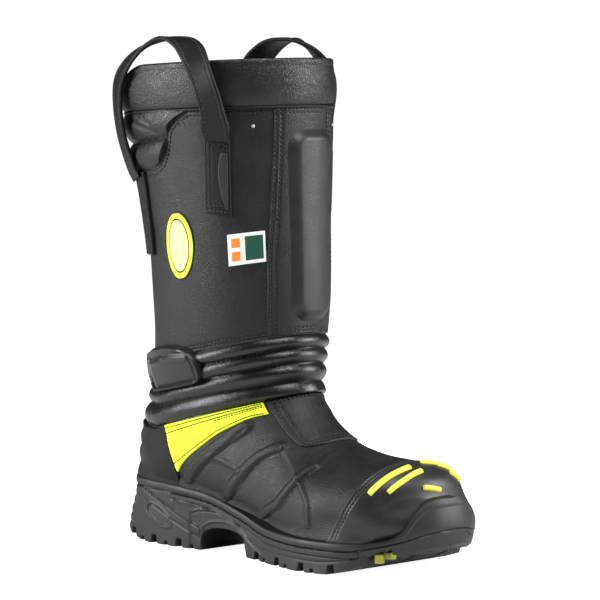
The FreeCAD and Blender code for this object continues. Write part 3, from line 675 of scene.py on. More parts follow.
def sheet(name, place, material, outer, inner, grid, edge, reliefs=(), wrap=False,
          crown=None, ends_v=(True, True), noise_amp=0.0, noise_scale=0.03, seed=0.0, body=None):
    """Slab over the surface with rounded rims.

    place maps (u, v) to (phi, station); outer (number or function) and inner are heights
    above the surface; grid is the mesh spacing, edge the rim radius; crown is an extra
    (height, reach from the rim); ends_v tells which v ends are rounded.
    """
    even = np.linspace(0, 1, 60)
    points = surface(*place(*np.meshgrid(even, even, indexing="ij")))
    length_u = np.median(steps(points, 0).sum(0))
    length_v = np.median(steps(points, 1).sum(1))
    if wrap:
        shares_u = np.linspace(0, 1, int(length_u / grid) + 1)[:-1]
    else:
        shares_u = grid_shares(length_u, grid, edge)
    shares_v = grid_shares(length_v, grid, edge, ends_v)
    phi, sta = place(*np.meshgrid(shares_u, shares_v, indexing="ij"))
    points, normals = skin(phi, sta)
    # true distance to the rim, measured along the grid
    along = np.pad(np.cumsum(steps(points, 1), 1), ((0, 0), (1, 0)))
    rim = np.full(along.shape, 1e3)
    if ends_v[0]:
        rim = np.minimum(rim, along)
    if ends_v[1]:
        rim = np.minimum(rim, along[:, -1:] - along)
    if not wrap:
        along = np.pad(np.cumsum(steps(points, 0), 0), ((1, 0), (0, 0)))
        rim = np.minimum.reduce([rim, along, along[-1:] - along])
    height = outer(phi, sta) if callable(outer) else np.full(rim.shape, float(outer))
    if crown:
        height = height + crown[0] * quarter_round(rim / crown[1])
    for relief in reliefs:
        height = height + relief(points)
    if noise_amp:
        height = height + noise_amp * fractal(points, noise_scale, 3, seed)
    rim_height = inner + 0.12
    height = rim_height + (height - rim_height) * quarter_round(rim / edge)
    verts, faces = closed_slab(points + normals * height[..., None],
                               points + normals * inner, wrap)
    return add_mesh(name, verts, faces, material)


# ==================================================== stitches
# Stitches are collected by group and built into one object per group near the end.
STITCHES = {}
# outline of one stitch: share of the length, girth and lift as shares of the radius
STITCH_SHAPE = np.array([(-0.5, 0.25, -0.9), (-0.34, 0.85, -0.1), (0.0, 1.0, 0.12),
                         (0.34, 0.85, -0.1), (0.5, 0.25, -0.9)])


def keep_stitches(group, *record):
    STITCHES.setdefault(group, []).append(record)


def lay_stitches(group, points, normals, spacing, length, radius):
    run = run_length(points)
    count = max(1, int(run[-1] / spacing))
    mids = (np.arange(count) + 0.5) * run[-1] / count
    tangent = unit(resample(np.minimum(mids + 0.8, run[-1]), run, points)
                   - resample(np.maximum(mids - 0.8, 0), run, points))
    normal = resample(mids, run, normals)
    keep_stitches(group, resample(mids, run, points), tangent, np.cross(normal, tangent),
                  normal, length, radius)


def stitch(paths, height, group="shaft", side=1, spacing=3.3, length=2.35, radius=0.52):
    """Rows of stitches along paths, lying at a height above the surface."""
    for path in paths:
        points, normals = skin(*curve(on_side(path, side))(np.linspace(0, 1, 600)).T)
        lay_stitches(group, points + normals * height, normals, spacing, length, radius)


def build_stitches(group, material):
    along, girth, lift = STITCH_SHAPE.T[:, :, None, None]
    x, y = (c[:, None] for c in circle(6))
    template = capped_tube(grid_ids(5, 6))
    verts, faces, base = [], [], 0
    for record in STITCHES[group]:
        centre, tangent, side, normal = (v[:, None, None] for v in record[:4])
        length, radius = record[4:]
        verts.append((centre + tangent * along * length + normal * lift * radius
                      + side * x * radius * girth
                      + normal * y * radius * girth).reshape(-1, 3))
        for _ in range(len(centre)):
            faces += [[base + i for i in face] for face in template]
            base += 30
    return add_mesh("stitching_" + group, np.concatenate(verts), faces, material, sharp=0)


# ==================================================== vamp
VAMP_RIDGES = [  # height, half width, softness, path
    (2.2, 4.6, 1.9, [(117, 8.95), (95, 9.18), (78, 9.30), (66, 9.42), (55, 9.56)]),
    (2.3, 3.6, 1.5, [(134, 7.62), (121.5, 7.50), (95.5, 7.50), (83.5, 7.48), (71.0, 7.44),
                     (59.0, 7.24), (48.5, 6.90)]),
    (2.0, 3.0, 1.4, [(135, 6.08), (112, 5.76), (89.5, 5.40), (73.5, 5.18), (60.5, 5.02),
                     (51.0, 4.92), (42.5, 4.74)]),
    (1.3, 1.7, 1.1, [(48.0, 6.80), (52.5, 5.72), (60.0, 5.04), (69.5, 4.46), (83.0, 4.08),
                     (112.0, 3.98)]),
    (1.4, 1.9, 1.1, [(86.0, 9.06), (84.0, 8.56), (84.5, 7.62)])]
VAMP_GROOVES = [  # depth, width, path
    (0.9, 1.6, [(118, 8.72), (95, 8.88), (78, 8.97), (66, 9.17), (57, 9.34)]),
    (1.0, 1.3, [(134, 7.36), (110, 7.25), (89, 7.22), (71, 7.18), (60, 7.0)]),
    (0.9, 1.2, [(136, 5.82), (112, 5.5), (90, 5.14), (66, 4.86), (52, 4.72)])]
# soft flex creases across the ball of the foot: station, depth
VAMP_CREASES = ((4.55, 0.25), (5.0, 0.3), (5.3, 0.2))

reliefs = []
for _, side in SIDES:
    reliefs += [ridge(on_side(path, side), *size) for *size, path in VAMP_RIDGES]
    reliefs += [groove(on_side(path, side), *size) for *size, path in VAMP_GROOVES]
for sta, depth in VAMP_CREASES:
    reliefs.append(groove([(-62, sta - 0.1), (-30, sta), (0, sta + 0.03), (30, sta),
                           (62, sta - 0.1)], depth, width=2.6))
piece(sheet("vamp_leather", lambda u, v: (-144 + 288 * u, 2.3 + 9.22 * v), "leather",
            outer=0.0, inner=-2.0, grid=1.15, edge=1.0, reliefs=reliefs,
            noise_amp=0.25, noise_scale=0.035),
      "blend", "upper_leather", "vamp")

# ==================================================== toe guard
# lateral half of the guard's rear edge: phi, station
GUARD_REAR = np.array([(0, 2.62), (19, 2.52), (39, 2.52), (54, 2.55), (67, 2.62),
                       (81, 2.75), (97, 2.88), (128, 3.10), (150, 3.3)])
guard_rear = pchip(np.concatenate([-GUARD_REAR[:0:-1, 0], GUARD_REAR[:, 0]]),
                   np.concatenate([GUARD_REAR[:0:-1, 1], GUARD_REAR[:, 1]]))


def guard_place(u, v):
    phi = -150 + 300 * u
    return phi, 0.03 + (guard_rear(phi) - 0.03) * v


def guard_height(phi, sta):
    """A gentle swelling on the toe."""
    return 1.75 + 0.5 * bell(sta, 1.2, 0.5) * np.cos(np.radians(np.clip(phi, -90, 90))) ** 2


def guard_seam(ahead):
    """Path a number of stations ahead of the rear edge."""
    return lambda s: np.stack([-128 + 256 * s, guard_rear(-128 + 256 * s) - ahead], -1)


seams = guard_seam(0.14), guard_seam(0.27)
reliefs = [groove(seams[0], depth=0.75, width=0.9), groove(seams[1], depth=0.6, width=0.7),
           groove([(12, 0.62), (24, 0.70), (40, 0.95), (58, 1.3), (76, 1.62)],
                  depth=-0.5, width=3.0)]
piece(sheet("toe_guard_rubber", guard_place, "guard", outer=guard_height, inner=0.15,
            grid=0.95, edge=1.3, reliefs=reliefs, ends_v=(False, True)),
      "foot", "guard_rubber", "toe_guard")
for seam, height in zip(seams, (1.35, 1.45)):
    stitch([seam], height, group="foot", spacing=3.0, length=2.3, radius=0.40)

# raised ribs on the guard
RIB_PATHS = [[(59, 2.02), (41, 1.96), (25, 1.95), (12, 1.98)],
             [(52, 1.68), (33, 1.65), (20, 1.69), (8, 1.73)],
             [(24, 1.18), (12, 1.02), (1, 0.90)],
             [(-7, 2.2), (-13, 2.16), (-21, 2.1)], [(-20, 2.02), (-36, 1.88)],
             [(-26, 1.66), (-34, 1.6), (-44, 1.55)]]
RIB_HALF, RIB_BASE, RIB_TOP = 1.95, 1.5, 4.2
# section of a rib: shares of its half width and height
RIB_SECTION = np.array([(-1.0, 0.0), (-1.0, 0.45), (-0.86, 0.82), (-0.6, 1.0), (0, 1.04),
                        (0.6, 1.0), (0.86, 0.82), (1.0, 0.45), (1.0, 0.0)])


def toe_rib(name, path):
    points, normals = skin(*curve(path)(np.linspace(0, 1, 300)).T)
    run = run_length(points)
    total = run[-1]
    count = max(8, int(total / 1.1))
    where = np.concatenate([[0, 0.012, 0.03], np.linspace(0.05, 0.95, count),
                            [0.97, 0.988, 1]]) * total
    centre, normal = resample(where, run, points), resample(where, run, normals)
    side = np.cross(normal, unit(resample(np.minimum(where + 0.6, total), run, points)
                                 - resample(np.maximum(where - 0.6, 0), run, points)))
    # narrower and lower at both ends
    to_end = np.minimum(where, total - where)
    half = RIB_HALF * (0.95 + 0.05 * smooth(to_end, 0, RIB_HALF * 2.2))
    rise = (RIB_TOP - RIB_BASE) * quarter_round(to_end / (RIB_HALF * 0.8), floor=0.02)
    across, up = RIB_SECTION.T
    x = across * half[:, None]
    outer = sections(centre, side, normal, x, RIB_BASE + rise[:, None] * up)
    inner = sections(centre, side, normal, x, np.full(len(up), RIB_BASE - 0.3))
    return add_mesh(name, *closed_slab(outer, inner), "yellow_rubber", sharp=60)


ribs = [toe_rib("toe_rib_%d" % i, path) for i, path in enumerate(RIB_PATHS)]
piece(join(ribs, "toe_rib_set"), "foot", "yellow_rubber", "toe_guard_ribs")

# ==================================================== instep panel
INSTEP_FRONT = [(-33, 5.9), (-24, 5.62), (-10, 5.48), (10, 5.48), (24, 5.62), (33, 5.9)]
INSTEP_SIDE = [(33, 5.9), (38, 6.45), (38.8, 7.1), (38.3, 8.03), (36.3, 9.47), (36.8, 11.5)]
INSTEP_WIDTH, INSTEP_LENGTH = 62.0, 78.0
instep_place = coons(INSTEP_FRONT, level(36.8, 11.52), on_side(INSTEP_SIDE, -1), INSTEP_SIDE)


def instep_seam(inset):
    """Path with rounded corners, inset from the side and front edges."""
    from_side, from_end = inset / INSTEP_WIDTH, inset / INSTEP_LENGTH
    down = np.linspace(1 - 0.012, from_end, 60)
    u = np.concatenate([np.full(60, from_side), np.linspace(from_side, 1 - from_side, 60)[1:-1],
                        np.full(60, 1 - from_side)])
    v = np.concatenate([down, np.full(58, from_end), down[::-1]])
    for _ in range(14):
        for values in (u, v):
            values[1:-1] = (values[:-2] + values[1:-1] * 2 + values[2:]) / 4
    return path_through(*instep_place(u, v))


seams = [instep_seam(3.0), instep_seam(6.6), level(35, 11.32), level(35, 11.05)]
piece(sheet("instep_panel_leather", instep_place, "leather", outer=1.55, inner=0.12,
            grid=1.0, edge=1.3,
            reliefs=(grooves(seams[:3], depth=0.5, width=0.8)
                     + grooves(seams[3:], depth=0.45, width=0.8)),
            noise_amp=0.2, noise_scale=0.04),
      "blend", "upper_leather", "instep_panel")
stitch(seams, height=1.25, group="foot")

# ==================================================== yellow side flash
FLASH_EDGES = (  # bottom, top, front, rear
    [(38.0, 9.80), (51, 10.16), (66, 10.12), (83, 9.84), (101.5, 9.62), (114.0, 9.40)],
    [(39.5, 11.50), (60, 11.52), (85, 11.54), (108.0, 11.58)],
    [(38.0, 9.80), (38.2, 10.6), (39.5, 11.50)],
    [(114.0, 9.40), (107.0, 10.0), (105.2, 10.7), (108.0, 11.58)])
FLASH_SEAMS = [[(40.2, 11.36), (60, 11.38), (85, 11.40), (106.5, 11.42)],
               [(39.8, 11.10), (60, 11.13), (85, 11.17), (105.5, 11.20)],
               [(40.5, 10.04), (51, 10.36), (66, 10.30), (83, 10.02), (98, 9.84),
                (108.0, 9.78)]]
FLASH_SHORT_SEAM = [(39.6, 10.86), (56, 10.93), (70, 10.97)]

for side_name, side in SIDES:
    piece(sheet("side_flash_%s_fabric" % side_name, coons(*FLASH_EDGES, side), "yellow",
                outer=1.35, inner=0.12, grid=0.9, edge=0.8,
                reliefs=grooves(FLASH_SEAMS, depth=0.35, width=0.6, side=side),
                noise_amp=0.12, noise_scale=0.05),
          "blend", "yellow_coated_fabric", "side_flash_" + side_name)
    stitch(FLASH_SEAMS + [FLASH_SHORT_SEAM], height=1.32, group="flash", side=side,
           spacing=2.2, length=2.15, radius=0.42)

# ==================================================== heel cap
HEEL_EDGE = curve([(132, 8.92), (127.0, 9.04), (112.5, 9.46), (105.0, 10.1),
                   (103.6, 10.74), (107.6, 11.55)])
HEEL_GROOVE = [(131, 9.06), (116, 9.50), (108.6, 10.12), (107.2, 10.74), (110.6, 11.5)]


def kink(phi):
    """How far the folds turn up behind the ankle, in stations."""
    return 0.60 * np.clip((from_front(phi) - 117) / 40, 0, 1) ** 0.9


def heel_place(u, v):
    edge = HEEL_EDGE(v)
    phi = edge[..., 0] + (360 - 2 * edge[..., 0]) * u
    return phi, edge[..., 1] + kink(phi) * smooth(v, 0.2, 1.0) * 0.95


def heel_height(phi, sta):
    """Level round bulges at the back, 12.6 apart."""
    z = surface(phi, sta)[..., 2]
    bulge = np.abs(np.sin(np.pi * (z - 47.0) / 12.6)) ** 0.75
    return 2.0 + smooth(from_front(phi), 137, 158) * (3.0 * bulge - 0.2)


piece(sheet("heel_cap_counter", heel_place, "heel", outer=heel_height, inner=0.1,
            grid=0.95, edge=1.6,
            reliefs=[groove(on_side(HEEL_GROOVE, side), 0.5, 0.9) for _, side in SIDES]),
      "foot", "heel_cap_leather", "heel_cap")

# ==================================================== flex zone
CREASES = [11.60, 12.62, 13.43, 14.17, 14.88]  # stations between the rolls


def flex_place(u, v):
    phi = -180 + 360 * u
    return phi, 11.50 + 3.48 * v + kink(phi) * (1 - smooth(v, 0.92, 1.0))


def flex_height(phi, sta):
    """Round rolls between the creases, flat bands below and above them."""
    sta = sta - kink(phi)
    height = np.where(sta < CREASES[0], -0.4, -0.2)
    for low, high in zip(CREASES, CREASES[1:]):
        roll = np.sin(np.pi * np.clip((sta - low) / (high - low), 0, 1)) ** 0.62
        height = np.where((sta >= low) & (sta <= high), -0.9 + 4.0 * roll, height)
    return height


piece(sheet("flex_zone_rolls", flex_place, "leather_soft", outer=flex_height, inner=-2.6,
            grid=0.8, edge=0.6, wrap=True, noise_amp=0.16, noise_scale=0.05),
      "blend", "flex_leather", "flex_zone_leather")

# ==================================================== ankle patches
PATCH_EDGES = (  # bottom, top, front, rear
    [(81.5, 13.34), (100, 13.30), (119, 13.33)],
    [(86, 14.97), (95, 15.22), (110, 15.36), (124, 15.38), (137, 15.32)],
    [(81.5, 13.34), (78.0, 13.62), (79.4, 14.1), (82.2, 14.62), (86, 14.97)],
    [(119, 13.33), (127, 14.1), (132.5, 14.65), (137, 15.32)])
PATCH_BAR = [(90, 14.75), (104, 14.85), (118, 14.87)]
PATCH_WIDTH, PATCH_HEIGHT = 46.0, 30.0


def patch_loop(place, inset):
    """Closed loop with rounded corners, inset from the patch's rim."""
    du, dv = inset / PATCH_WIDTH, inset / PATCH_HEIGHT
    across, up = np.linspace(du, 1 - du, 40), np.linspace(dv, 1 - dv, 40)
    u = np.concatenate([across, np.full(40, 1 - du), across[::-1], np.full(40, du)])
    v = np.concatenate([np.full(40, dv), up, np.full(40, 1 - dv), up[::-1]])
    for _ in range(5):
        u = (np.roll(u, 1) + 2 * u + np.roll(u, -1)) / 4
        v = (np.roll(v, 1) + 2 * v + np.roll(v, -1)) / 4
    return path_through(*place(np.append(u, u[0]), np.append(v, v[0])))


def patch_oval(s):
    """Small flat oval near the top of the patch."""
    angle = 2 * math.pi * np.asarray(s)
    return np.stack([121 + 9.5 * np.cos(angle), 14.98 + 0.11 * np.sin(angle)], -1)


for side_name, side in SIDES:
    place = coons(*PATCH_EDGES, side)
    reliefs = [ridge(patch_loop(place, 1.6), height=2.0, half=1.3, soft=0.6),
               groove(patch_loop(place, 4.0), depth=0.9, width=0.9),
               ridge(on_side(patch_oval, side), height=0.6, half=0.5, soft=0.5),
               ridge(on_side(PATCH_BAR, side), height=0.45, half=2.4, soft=0.4)]
    piece(sheet("ankle_patch_%s_moulding" % side_name, place, "patch", outer=4.0, inner=0.3,
                grid=0.85, edge=1.5, reliefs=reliefs, crown=(1.3, 14)),
          "blend", "patch_rubber", "ankle_patch_" + side_name)

# ==================================================== shaft sides
# seam between shin and side panels, and lower edge of the calf panel, lateral half
SHIN_SEAM = np.array([(34.5, 15.0), (33.5, 16.5), (30, 17.5), (27.5, 18.4), (25.5, 19.95)])
CALF_EDGE = [(180, 18.5), (119, 18.5), (106, 18.5), (100, 18.58), (96, 18.74),
             (93.2, 18.95), (92, 19.15), (88.5, 19.48), (83, 19.72), (75, 19.93)]
shin_seam_phi = pchip(SHIN_SEAM[:, 1], SHIN_SEAM[:, 0])
calf_edge_sta = pchip(*np.array(CALF_EDGE[::-1]).T)
calf_edge_line = dense_line(CALF_EDGE)


def calf_seam(offset):
    """Path parallel to the calf panel's edge, offset outside it."""
    phi, sta = curve(CALF_EDGE)(np.linspace(0, 1, 300)).T
    points, normals = skin(phi, sta)
    shift = np.cross(unit(np.gradient(points, axis=0)), normals)
    around = surface(phi + 0.5, sta) - surface(phi - 0.5, sta)
    onward = surface(phi, sta + 0.05) - surface(phi, sta - 0.05)
    if shift[20] @ onward[20] > 0:
        shift = -shift
    shift = shift * offset

    def dot(first, second):
        return (first * second).sum(1)
    # solve for the steps in phi and station that make up the shift
    aa, ao, oo = dot(around, around), dot(around, onward), dot(onward, onward)
    along_a, along_o = dot(shift, around), dot(shift, onward)
    det = aa * oo - ao ** 2
    return path_through(phi + (along_a * oo - along_o * ao) / det,
                        sta + 0.1 * (along_o * aa - along_a * ao) / det)


CALF_SEAMS = [calf_seam(2.6), calf_seam(6.0)]
SIDE_GROOVES = [  # depth, path
    (0.45, [(30, 19.86), (60, 19.86), (77, 19.86)]),
    (0.35, [(30, 19.74), (60, 19.74), (74, 19.74)]),
    (0.45, [(34, 15.03), (90, 15.03), (176, 15.03)]),
    (0.35, [(34, 15.14), (90, 15.14), (176, 15.14)])]
SIDE_SEAMS = [[(30, 19.86), (60, 19.86), (78, 19.86)], [(30, 19.74), (60, 19.74), (76, 19.74)],
              [(34.5, 15.03), (82, 15.03)], [(34.5, 15.14), (84, 15.14)],
              [(139, 15.03), (172, 15.03)], [(139, 15.14), (172, 15.14)]]


def side_height(phi, sta):
    """Level, but sunk under the calf panel."""
    angle = np.abs(phi)
    inside = (sta > calf_edge_sta(np.clip(angle, 75, 180))) & (angle > 75)
    distance = distance_to(surface(angle, sta), calf_edge_line) * np.where(inside, 1, -1)
    return -1.75 * smooth(distance, -0.25, 0.55)


for side_name, side in SIDES:
    def side_place(u, v):
        sta = 14.90 + 5.10 * v
        front = shin_seam_phi(np.clip(sta, 15, 19.95)) - 3.0
        return side * (front + (179.3 - front) * u), sta

    reliefs = grooves(CALF_SEAMS, depth=0.45, width=0.8, side=side)
    for depth, path in SIDE_GROOVES:
        reliefs += grooves([path], depth, width=0.8, side=side)
    piece(sheet("shaft_side_%s_leather" % side_name, side_place, "leather",
                outer=side_height, inner=-2.0, grid=0.9, edge=1.0, reliefs=reliefs,
                noise_amp=0.5, noise_scale=0.02, seed=3.0 * side),
          "blend", "upper_leather", "shaft_side_" + side_name)
    stitch(CALF_SEAMS + SIDE_SEAMS, height=-0.12, side=side)

# ==================================================== shin panel, lapped over the sides


def shin_place(u, v):
    sta = 14.90 + 5.08 * v
    edge = shin_seam_phi(np.clip(sta, 15, 19.95))
    return -edge + 2 * edge * u, sta


def shin_side_seam(inset):
    """Path inset from the panel's lateral edge, at 0.97 mm to a degree."""
    def path(s):
        sta = 15.0 + 4.92 * s
        return np.stack([shin_seam_phi(sta) - inset / 0.97, sta], -1)
    return path


SHIN_SIDE_SEAMS = [on_side(shin_side_seam(inset), side) for _, side in SIDES
                   for inset in (2.2, 5.6)]
SHIN_ENDS = [(0.45, level(24, 19.86)), (0.4, level(24, 19.75)),  # groove depth, path
             (0.45, level(31, 15.03)), (0.4, level(31, 15.13))]
reliefs = grooves(SHIN_SIDE_SEAMS, depth=0.8, width=1.0)
reliefs += [groove(path, depth, width=0.8) for depth, path in SHIN_ENDS]
piece(sheet("shin_panel_leather", shin_place, "leather", outer=1.3, inner=-1.6, grid=0.9,
            edge=1.2, reliefs=reliefs, noise_amp=0.3, noise_scale=0.022, seed=9.0),
      "blend", "upper_leather", "shin_panel")
stitch(SHIN_SIDE_SEAMS + [path for _, path in SHIN_ENDS], height=1.02)

# raised rounded rectangle on the shin
PAD_PHI, PAD_Z = -4.2, 243.5
PAD_HALF_WIDTH, PAD_HALF_HEIGHT, PAD_CORNER = 20.5, 69.0, 13.0


def pad_height(phi, sta):
    x, y = (phi - PAD_PHI) * 1.02, surface(phi, sta)[..., 2] - PAD_Z
    past_x = np.abs(x) - (PAD_HALF_WIDTH - PAD_CORNER)
    past_y = np.abs(y) - (PAD_HALF_HEIGHT - PAD_CORNER)
    outside = (np.hypot(np.maximum(past_x, 0), np.maximum(past_y, 0)) - PAD_CORNER
               + np.minimum(np.maximum(past_x, past_y), 0))
    rise = 1 - smooth(outside, -7.0, 4.0)
    bow = np.cos(np.clip(x / PAD_HALF_WIDTH, -1, 1) * math.pi / 2)
    return 0.55 + 5.1 * rise ** 1.15 + 0.5 * bow * rise


piece(sheet("shin_guard_cover", lambda u, v: (-32 + 55 * u, 15.22 + 4.1 * v), "shin",
            outer=pad_height, inner=0.1, grid=1.0, edge=0.8, noise_amp=0.12),
      "shaft", "shin_guard_leather", "shin_guard")

# ==================================================== calf panel, soft padded folds
CALF_SIDE = ([18.38, 18.5, 18.58, 18.74, 18.95, 19.15, 19.48, 19.72, 19.97],  # station
             [108, 103.5, 98.5, 94.5, 91.5, 90.2, 86.8, 81, 72.5])            # phi
CALF_FOLDS = 18.42, 19.06, 20.02  # stations between the two folds
CALF_GROOVES = [(1.0, 2.2, [(96, 19.28), (108, 19.5), (120, 19.75)]),  # depth, width, path
                (0.8, 1.8, [(100, 19.55), (106, 19.75), (110, 19.92)])]


def calf_place(u, v):
    sta = 18.40 + 1.58 * v
    edge = np.interp(sta, *CALF_SIDE)
    return edge + (360 - 2 * edge) * u, sta


def calf_height(phi, sta):
    angle = from_front(phi)
    sta = sta + 0.05 * np.sin(np.radians(angle * 3)) + 0.03 * np.sin(np.radians(angle * 7))
    low, middle, high = CALF_FOLDS
    lower = np.sin(np.pi * np.clip((sta - low) / (middle - low), 0, 1)) ** 0.6 * 6.0
    upper = np.sin(np.pi * np.clip((sta - middle) / (high - middle), 0, 1)) ** 0.55 * 5.8
    return -2.2 + np.where(sta < middle, lower, upper)


reliefs = [groove(on_side(path, side), depth, width)
           for depth, width, path in CALF_GROOVES for _, side in SIDES]
piece(sheet("calf_panel_leather", calf_place, "grain", outer=calf_height, inner=-3.0,
            grid=1.0, edge=0.8, reliefs=reliefs, noise_amp=0.4, noise_scale=0.06, seed=5.0),
      "shaft", "grain_leather", "calf_stretch_panel")

# ==================================================== back stay over the rear seam
STAY_SEAMS = 174.6, 185.4
piece(sheet("back_stay_leather", lambda u, v: (172.3 + 15.4 * u, 14.93 + 3.6 * v),
            "leather", outer=1.5, inner=-0.6, grid=1.0, edge=1.2,
            reliefs=grooves([[(phi, 15.0), (phi, 18.5)] for phi in STAY_SEAMS],
                            depth=0.4, width=0.7), noise_amp=0.15),
      "blend", "upper_leather", "back_stay")
stitch([[(phi, 15.02), (phi, 18.48)] for phi in STAY_SEAMS], height=1.3)

# ==================================================== collar
# the collar's section, outside, over the top, inside: station, height over the surface
COLLAR_SECTION = np.array([
    (19.90, -1.8), (19.935, -0.2), (19.96, 0.9), (20.02, 2.0), (20.12, 2.9), (20.3, 3.5),
    (20.5, 3.6), (20.68, 3.1), (20.80, 2.4), (20.885, 1.75), (20.905, 1.35), (20.925, 1.7),
    (20.98, 1.55), (21.025, 1.0), (21.045, 0.1), (21.04, -1.2), (20.99, -2.2),
    (20.90, -2.8), (20.84, -3.6), (20.7, -5.6), (20.5, -6.9), (20.3, -7.2), (20.1, -6.9),
    (19.9, -6.4)])
COLLAR_MM_PER_STATION = 32
COLLAR_COUNT = 430


def collar_base(phi, sta):
    """Surface points and normals, carried straight up above station 21."""
    points, normals = skin(phi, np.minimum(sta, 21.0))
    points[..., 2] += np.maximum(sta - 21.0, 0) * COLLAR_MM_PER_STATION
    return points, normals


def on_collar(phi, sta, height):
    """Points at a height over the collar's base, lowered at the back, and normals."""
    points, normals = collar_base(phi, sta)
    points = points + normals * height[..., None]
    points[..., 2] -= 13.5 * smooth(np.abs(phi), 103, 142) * smooth(sta, 19.95, 21.0)
    return points, normals


def collar_thinning(phi):
    """The collar is drawn in at the front of the medial side."""
    return 1.9 * bell(phi, -46, 30)


run = run_length(COLLAR_SECTION * [COLLAR_MM_PER_STATION, 1])
even = np.linspace(0, run[-1], int(run[-1] / 0.95))
section_sta, section_height = (pchip(run, column)(even) for column in COLLAR_SECTION.T)
section_share = np.arange(len(even)) / len(even)
collar_phi = np.linspace(-180, 180, COLLAR_COUNT + 1)[:-1]
phi, sta = np.meshgrid(collar_phi, section_sta, indexing="ij")
base, _ = collar_base(phi, sta)
folds = (0.25 * fractal(base * np.array([1, 1, 2.2]), 0.05, 3, 11.0)
         + 0.08 * fractal(base * np.array([1, 1, 3.4]), 0.16, 2, 21.0))
height = (section_height + band(section_share, 0.0, 0.06, 0.44, 0.50) * folds
          - band(section_share, 0.0, 0.06, 0.50, 0.66) * collar_thinning(phi))
points, _ = on_collar(phi, sta, height)
ids = grid_ids(*phi.shape)
# the last quads close the section underneath with a flat band
piece(add_mesh("collar_padded_leather", points.reshape(-1, 3),
               hoop_quads(ids) + hoop_quads(ids[:, [-1, 0]]), "grain", sharp=60),
      "shaft", "grain_leather", "collar_leather")

# stitches in the groove round the collar's top
phi = np.linspace(-179.5, 179.5, 900)
points, normals = on_collar(phi, np.full_like(phi, 20.905), 1.45 - collar_thinning(phi))
lay_stitches("collar", points, normals, spacing=3.3, length=2.5, radius=0.42)

# padding inside the collar: the same section drawn in, so the leather covers it
phi, sta = np.meshgrid(collar_phi[::2], 20.46 + (section_sta[::2] - 20.46) * 0.80,
                       indexing="ij")
height = (-2.2 + (section_height[::2] + 2.2) * 0.70
          - collar_thinning(phi) * (1 - smooth(section_share[::2], 0.50, 0.66)))
points, _ = on_collar(phi, sta, height)
piece(add_mesh("collar_padding", points.reshape(-1, 3), torus_quads(grid_ids(*phi.shape)),
               "foam", sharp=0),
      "shaft", "padding_foam", "collar_foam")

# piping along the collar seam
PIPING_RADIUS = 1.15
phi = np.linspace(-180, 180, 361)[:-1]
points, normals = skin(phi, np.full_like(phi, 19.925))
centre = points + normals * 0.9
side_dir = np.cross(normals, unit(np.roll(centre, -1, 0) - np.roll(centre, 1, 0)))
ring_x, ring_y = circle(8)
points = sections(centre, normals, side_dir, ring_x * PIPING_RADIUS, ring_y * PIPING_RADIUS)
piece(add_mesh("collar_piping", points.reshape(-1, 3), torus_quads(grid_ids(360, 8)),
               "strap", sharp=0),
      "shaft", "grain_leather")

# ==================================================== lining, footbed, flex padding
piece(sheet("lining_knit", lambda u, v: (-180 + 360 * u, 0.03 + 19.97 * v), "lining",
            outer=-5.6, inner=-7.3, grid=2.6, edge=0.5, wrap=True, ends_v=(False, False)),
      "blend", "lining_fabric", "lining")
piece(sheet("footbed_cover", lambda u, v: (132 + 96 * u, 1.4 + 8.45 * v), "lining",
            outer=-7.8, inner=-11.8, grid=2.0, edge=2.0, noise_amp=0.3),
      "foot", "footbed_foam", "footbed")
piece(copy_node("flex_zone_padding", "flex_zone_foam", "foam"),
      "blend", "padding_foam", "flex_zone_foam")

# ==================================================== pull loops
STRAP_HALF = 9.7
STRAP_LIFT = 3.9  # of the strap's ends over the surface
# x, distance from the midplane, z, twist in degrees, how far the face points
# straight sideways, and how far the medial strap is shifted back
STRAP_PATH = np.array([
    (-23.2, 62.8, 318.0, 0, .1, 9.0), (-23.4, 66.2, 331.0, 3, .3, 9.4),
    (-26.0, 68.6, 343.0, 6, .6, 8.8), (-33.2, 68.4, 356.6, 20, 1, 6.6),
    (-44.0, 65.0, 368.4, 44, 1, 4.2), (-58.2, 60.8, 376.4, 72, 1, 2.0),
    (-74.4, 60.5, 379.5, 90, 1, 0), (-90.6, 62.0, 376.4, 76, 1, 0),
    (-105.0, 64.0, 369.3, 54, .85, 0), (-118.0, 65.0, 359.2, 30, .6, 0),
    (-126.0, 65.0, 347.5, 10, .3, 0), (-129.0, 63.8, 335.0, 2, .12, 0),
    (-129.0, 62.6, 319.0, 0, 0, 0), (-125.4, 59.2, 297.0, 0, 0, 0)])


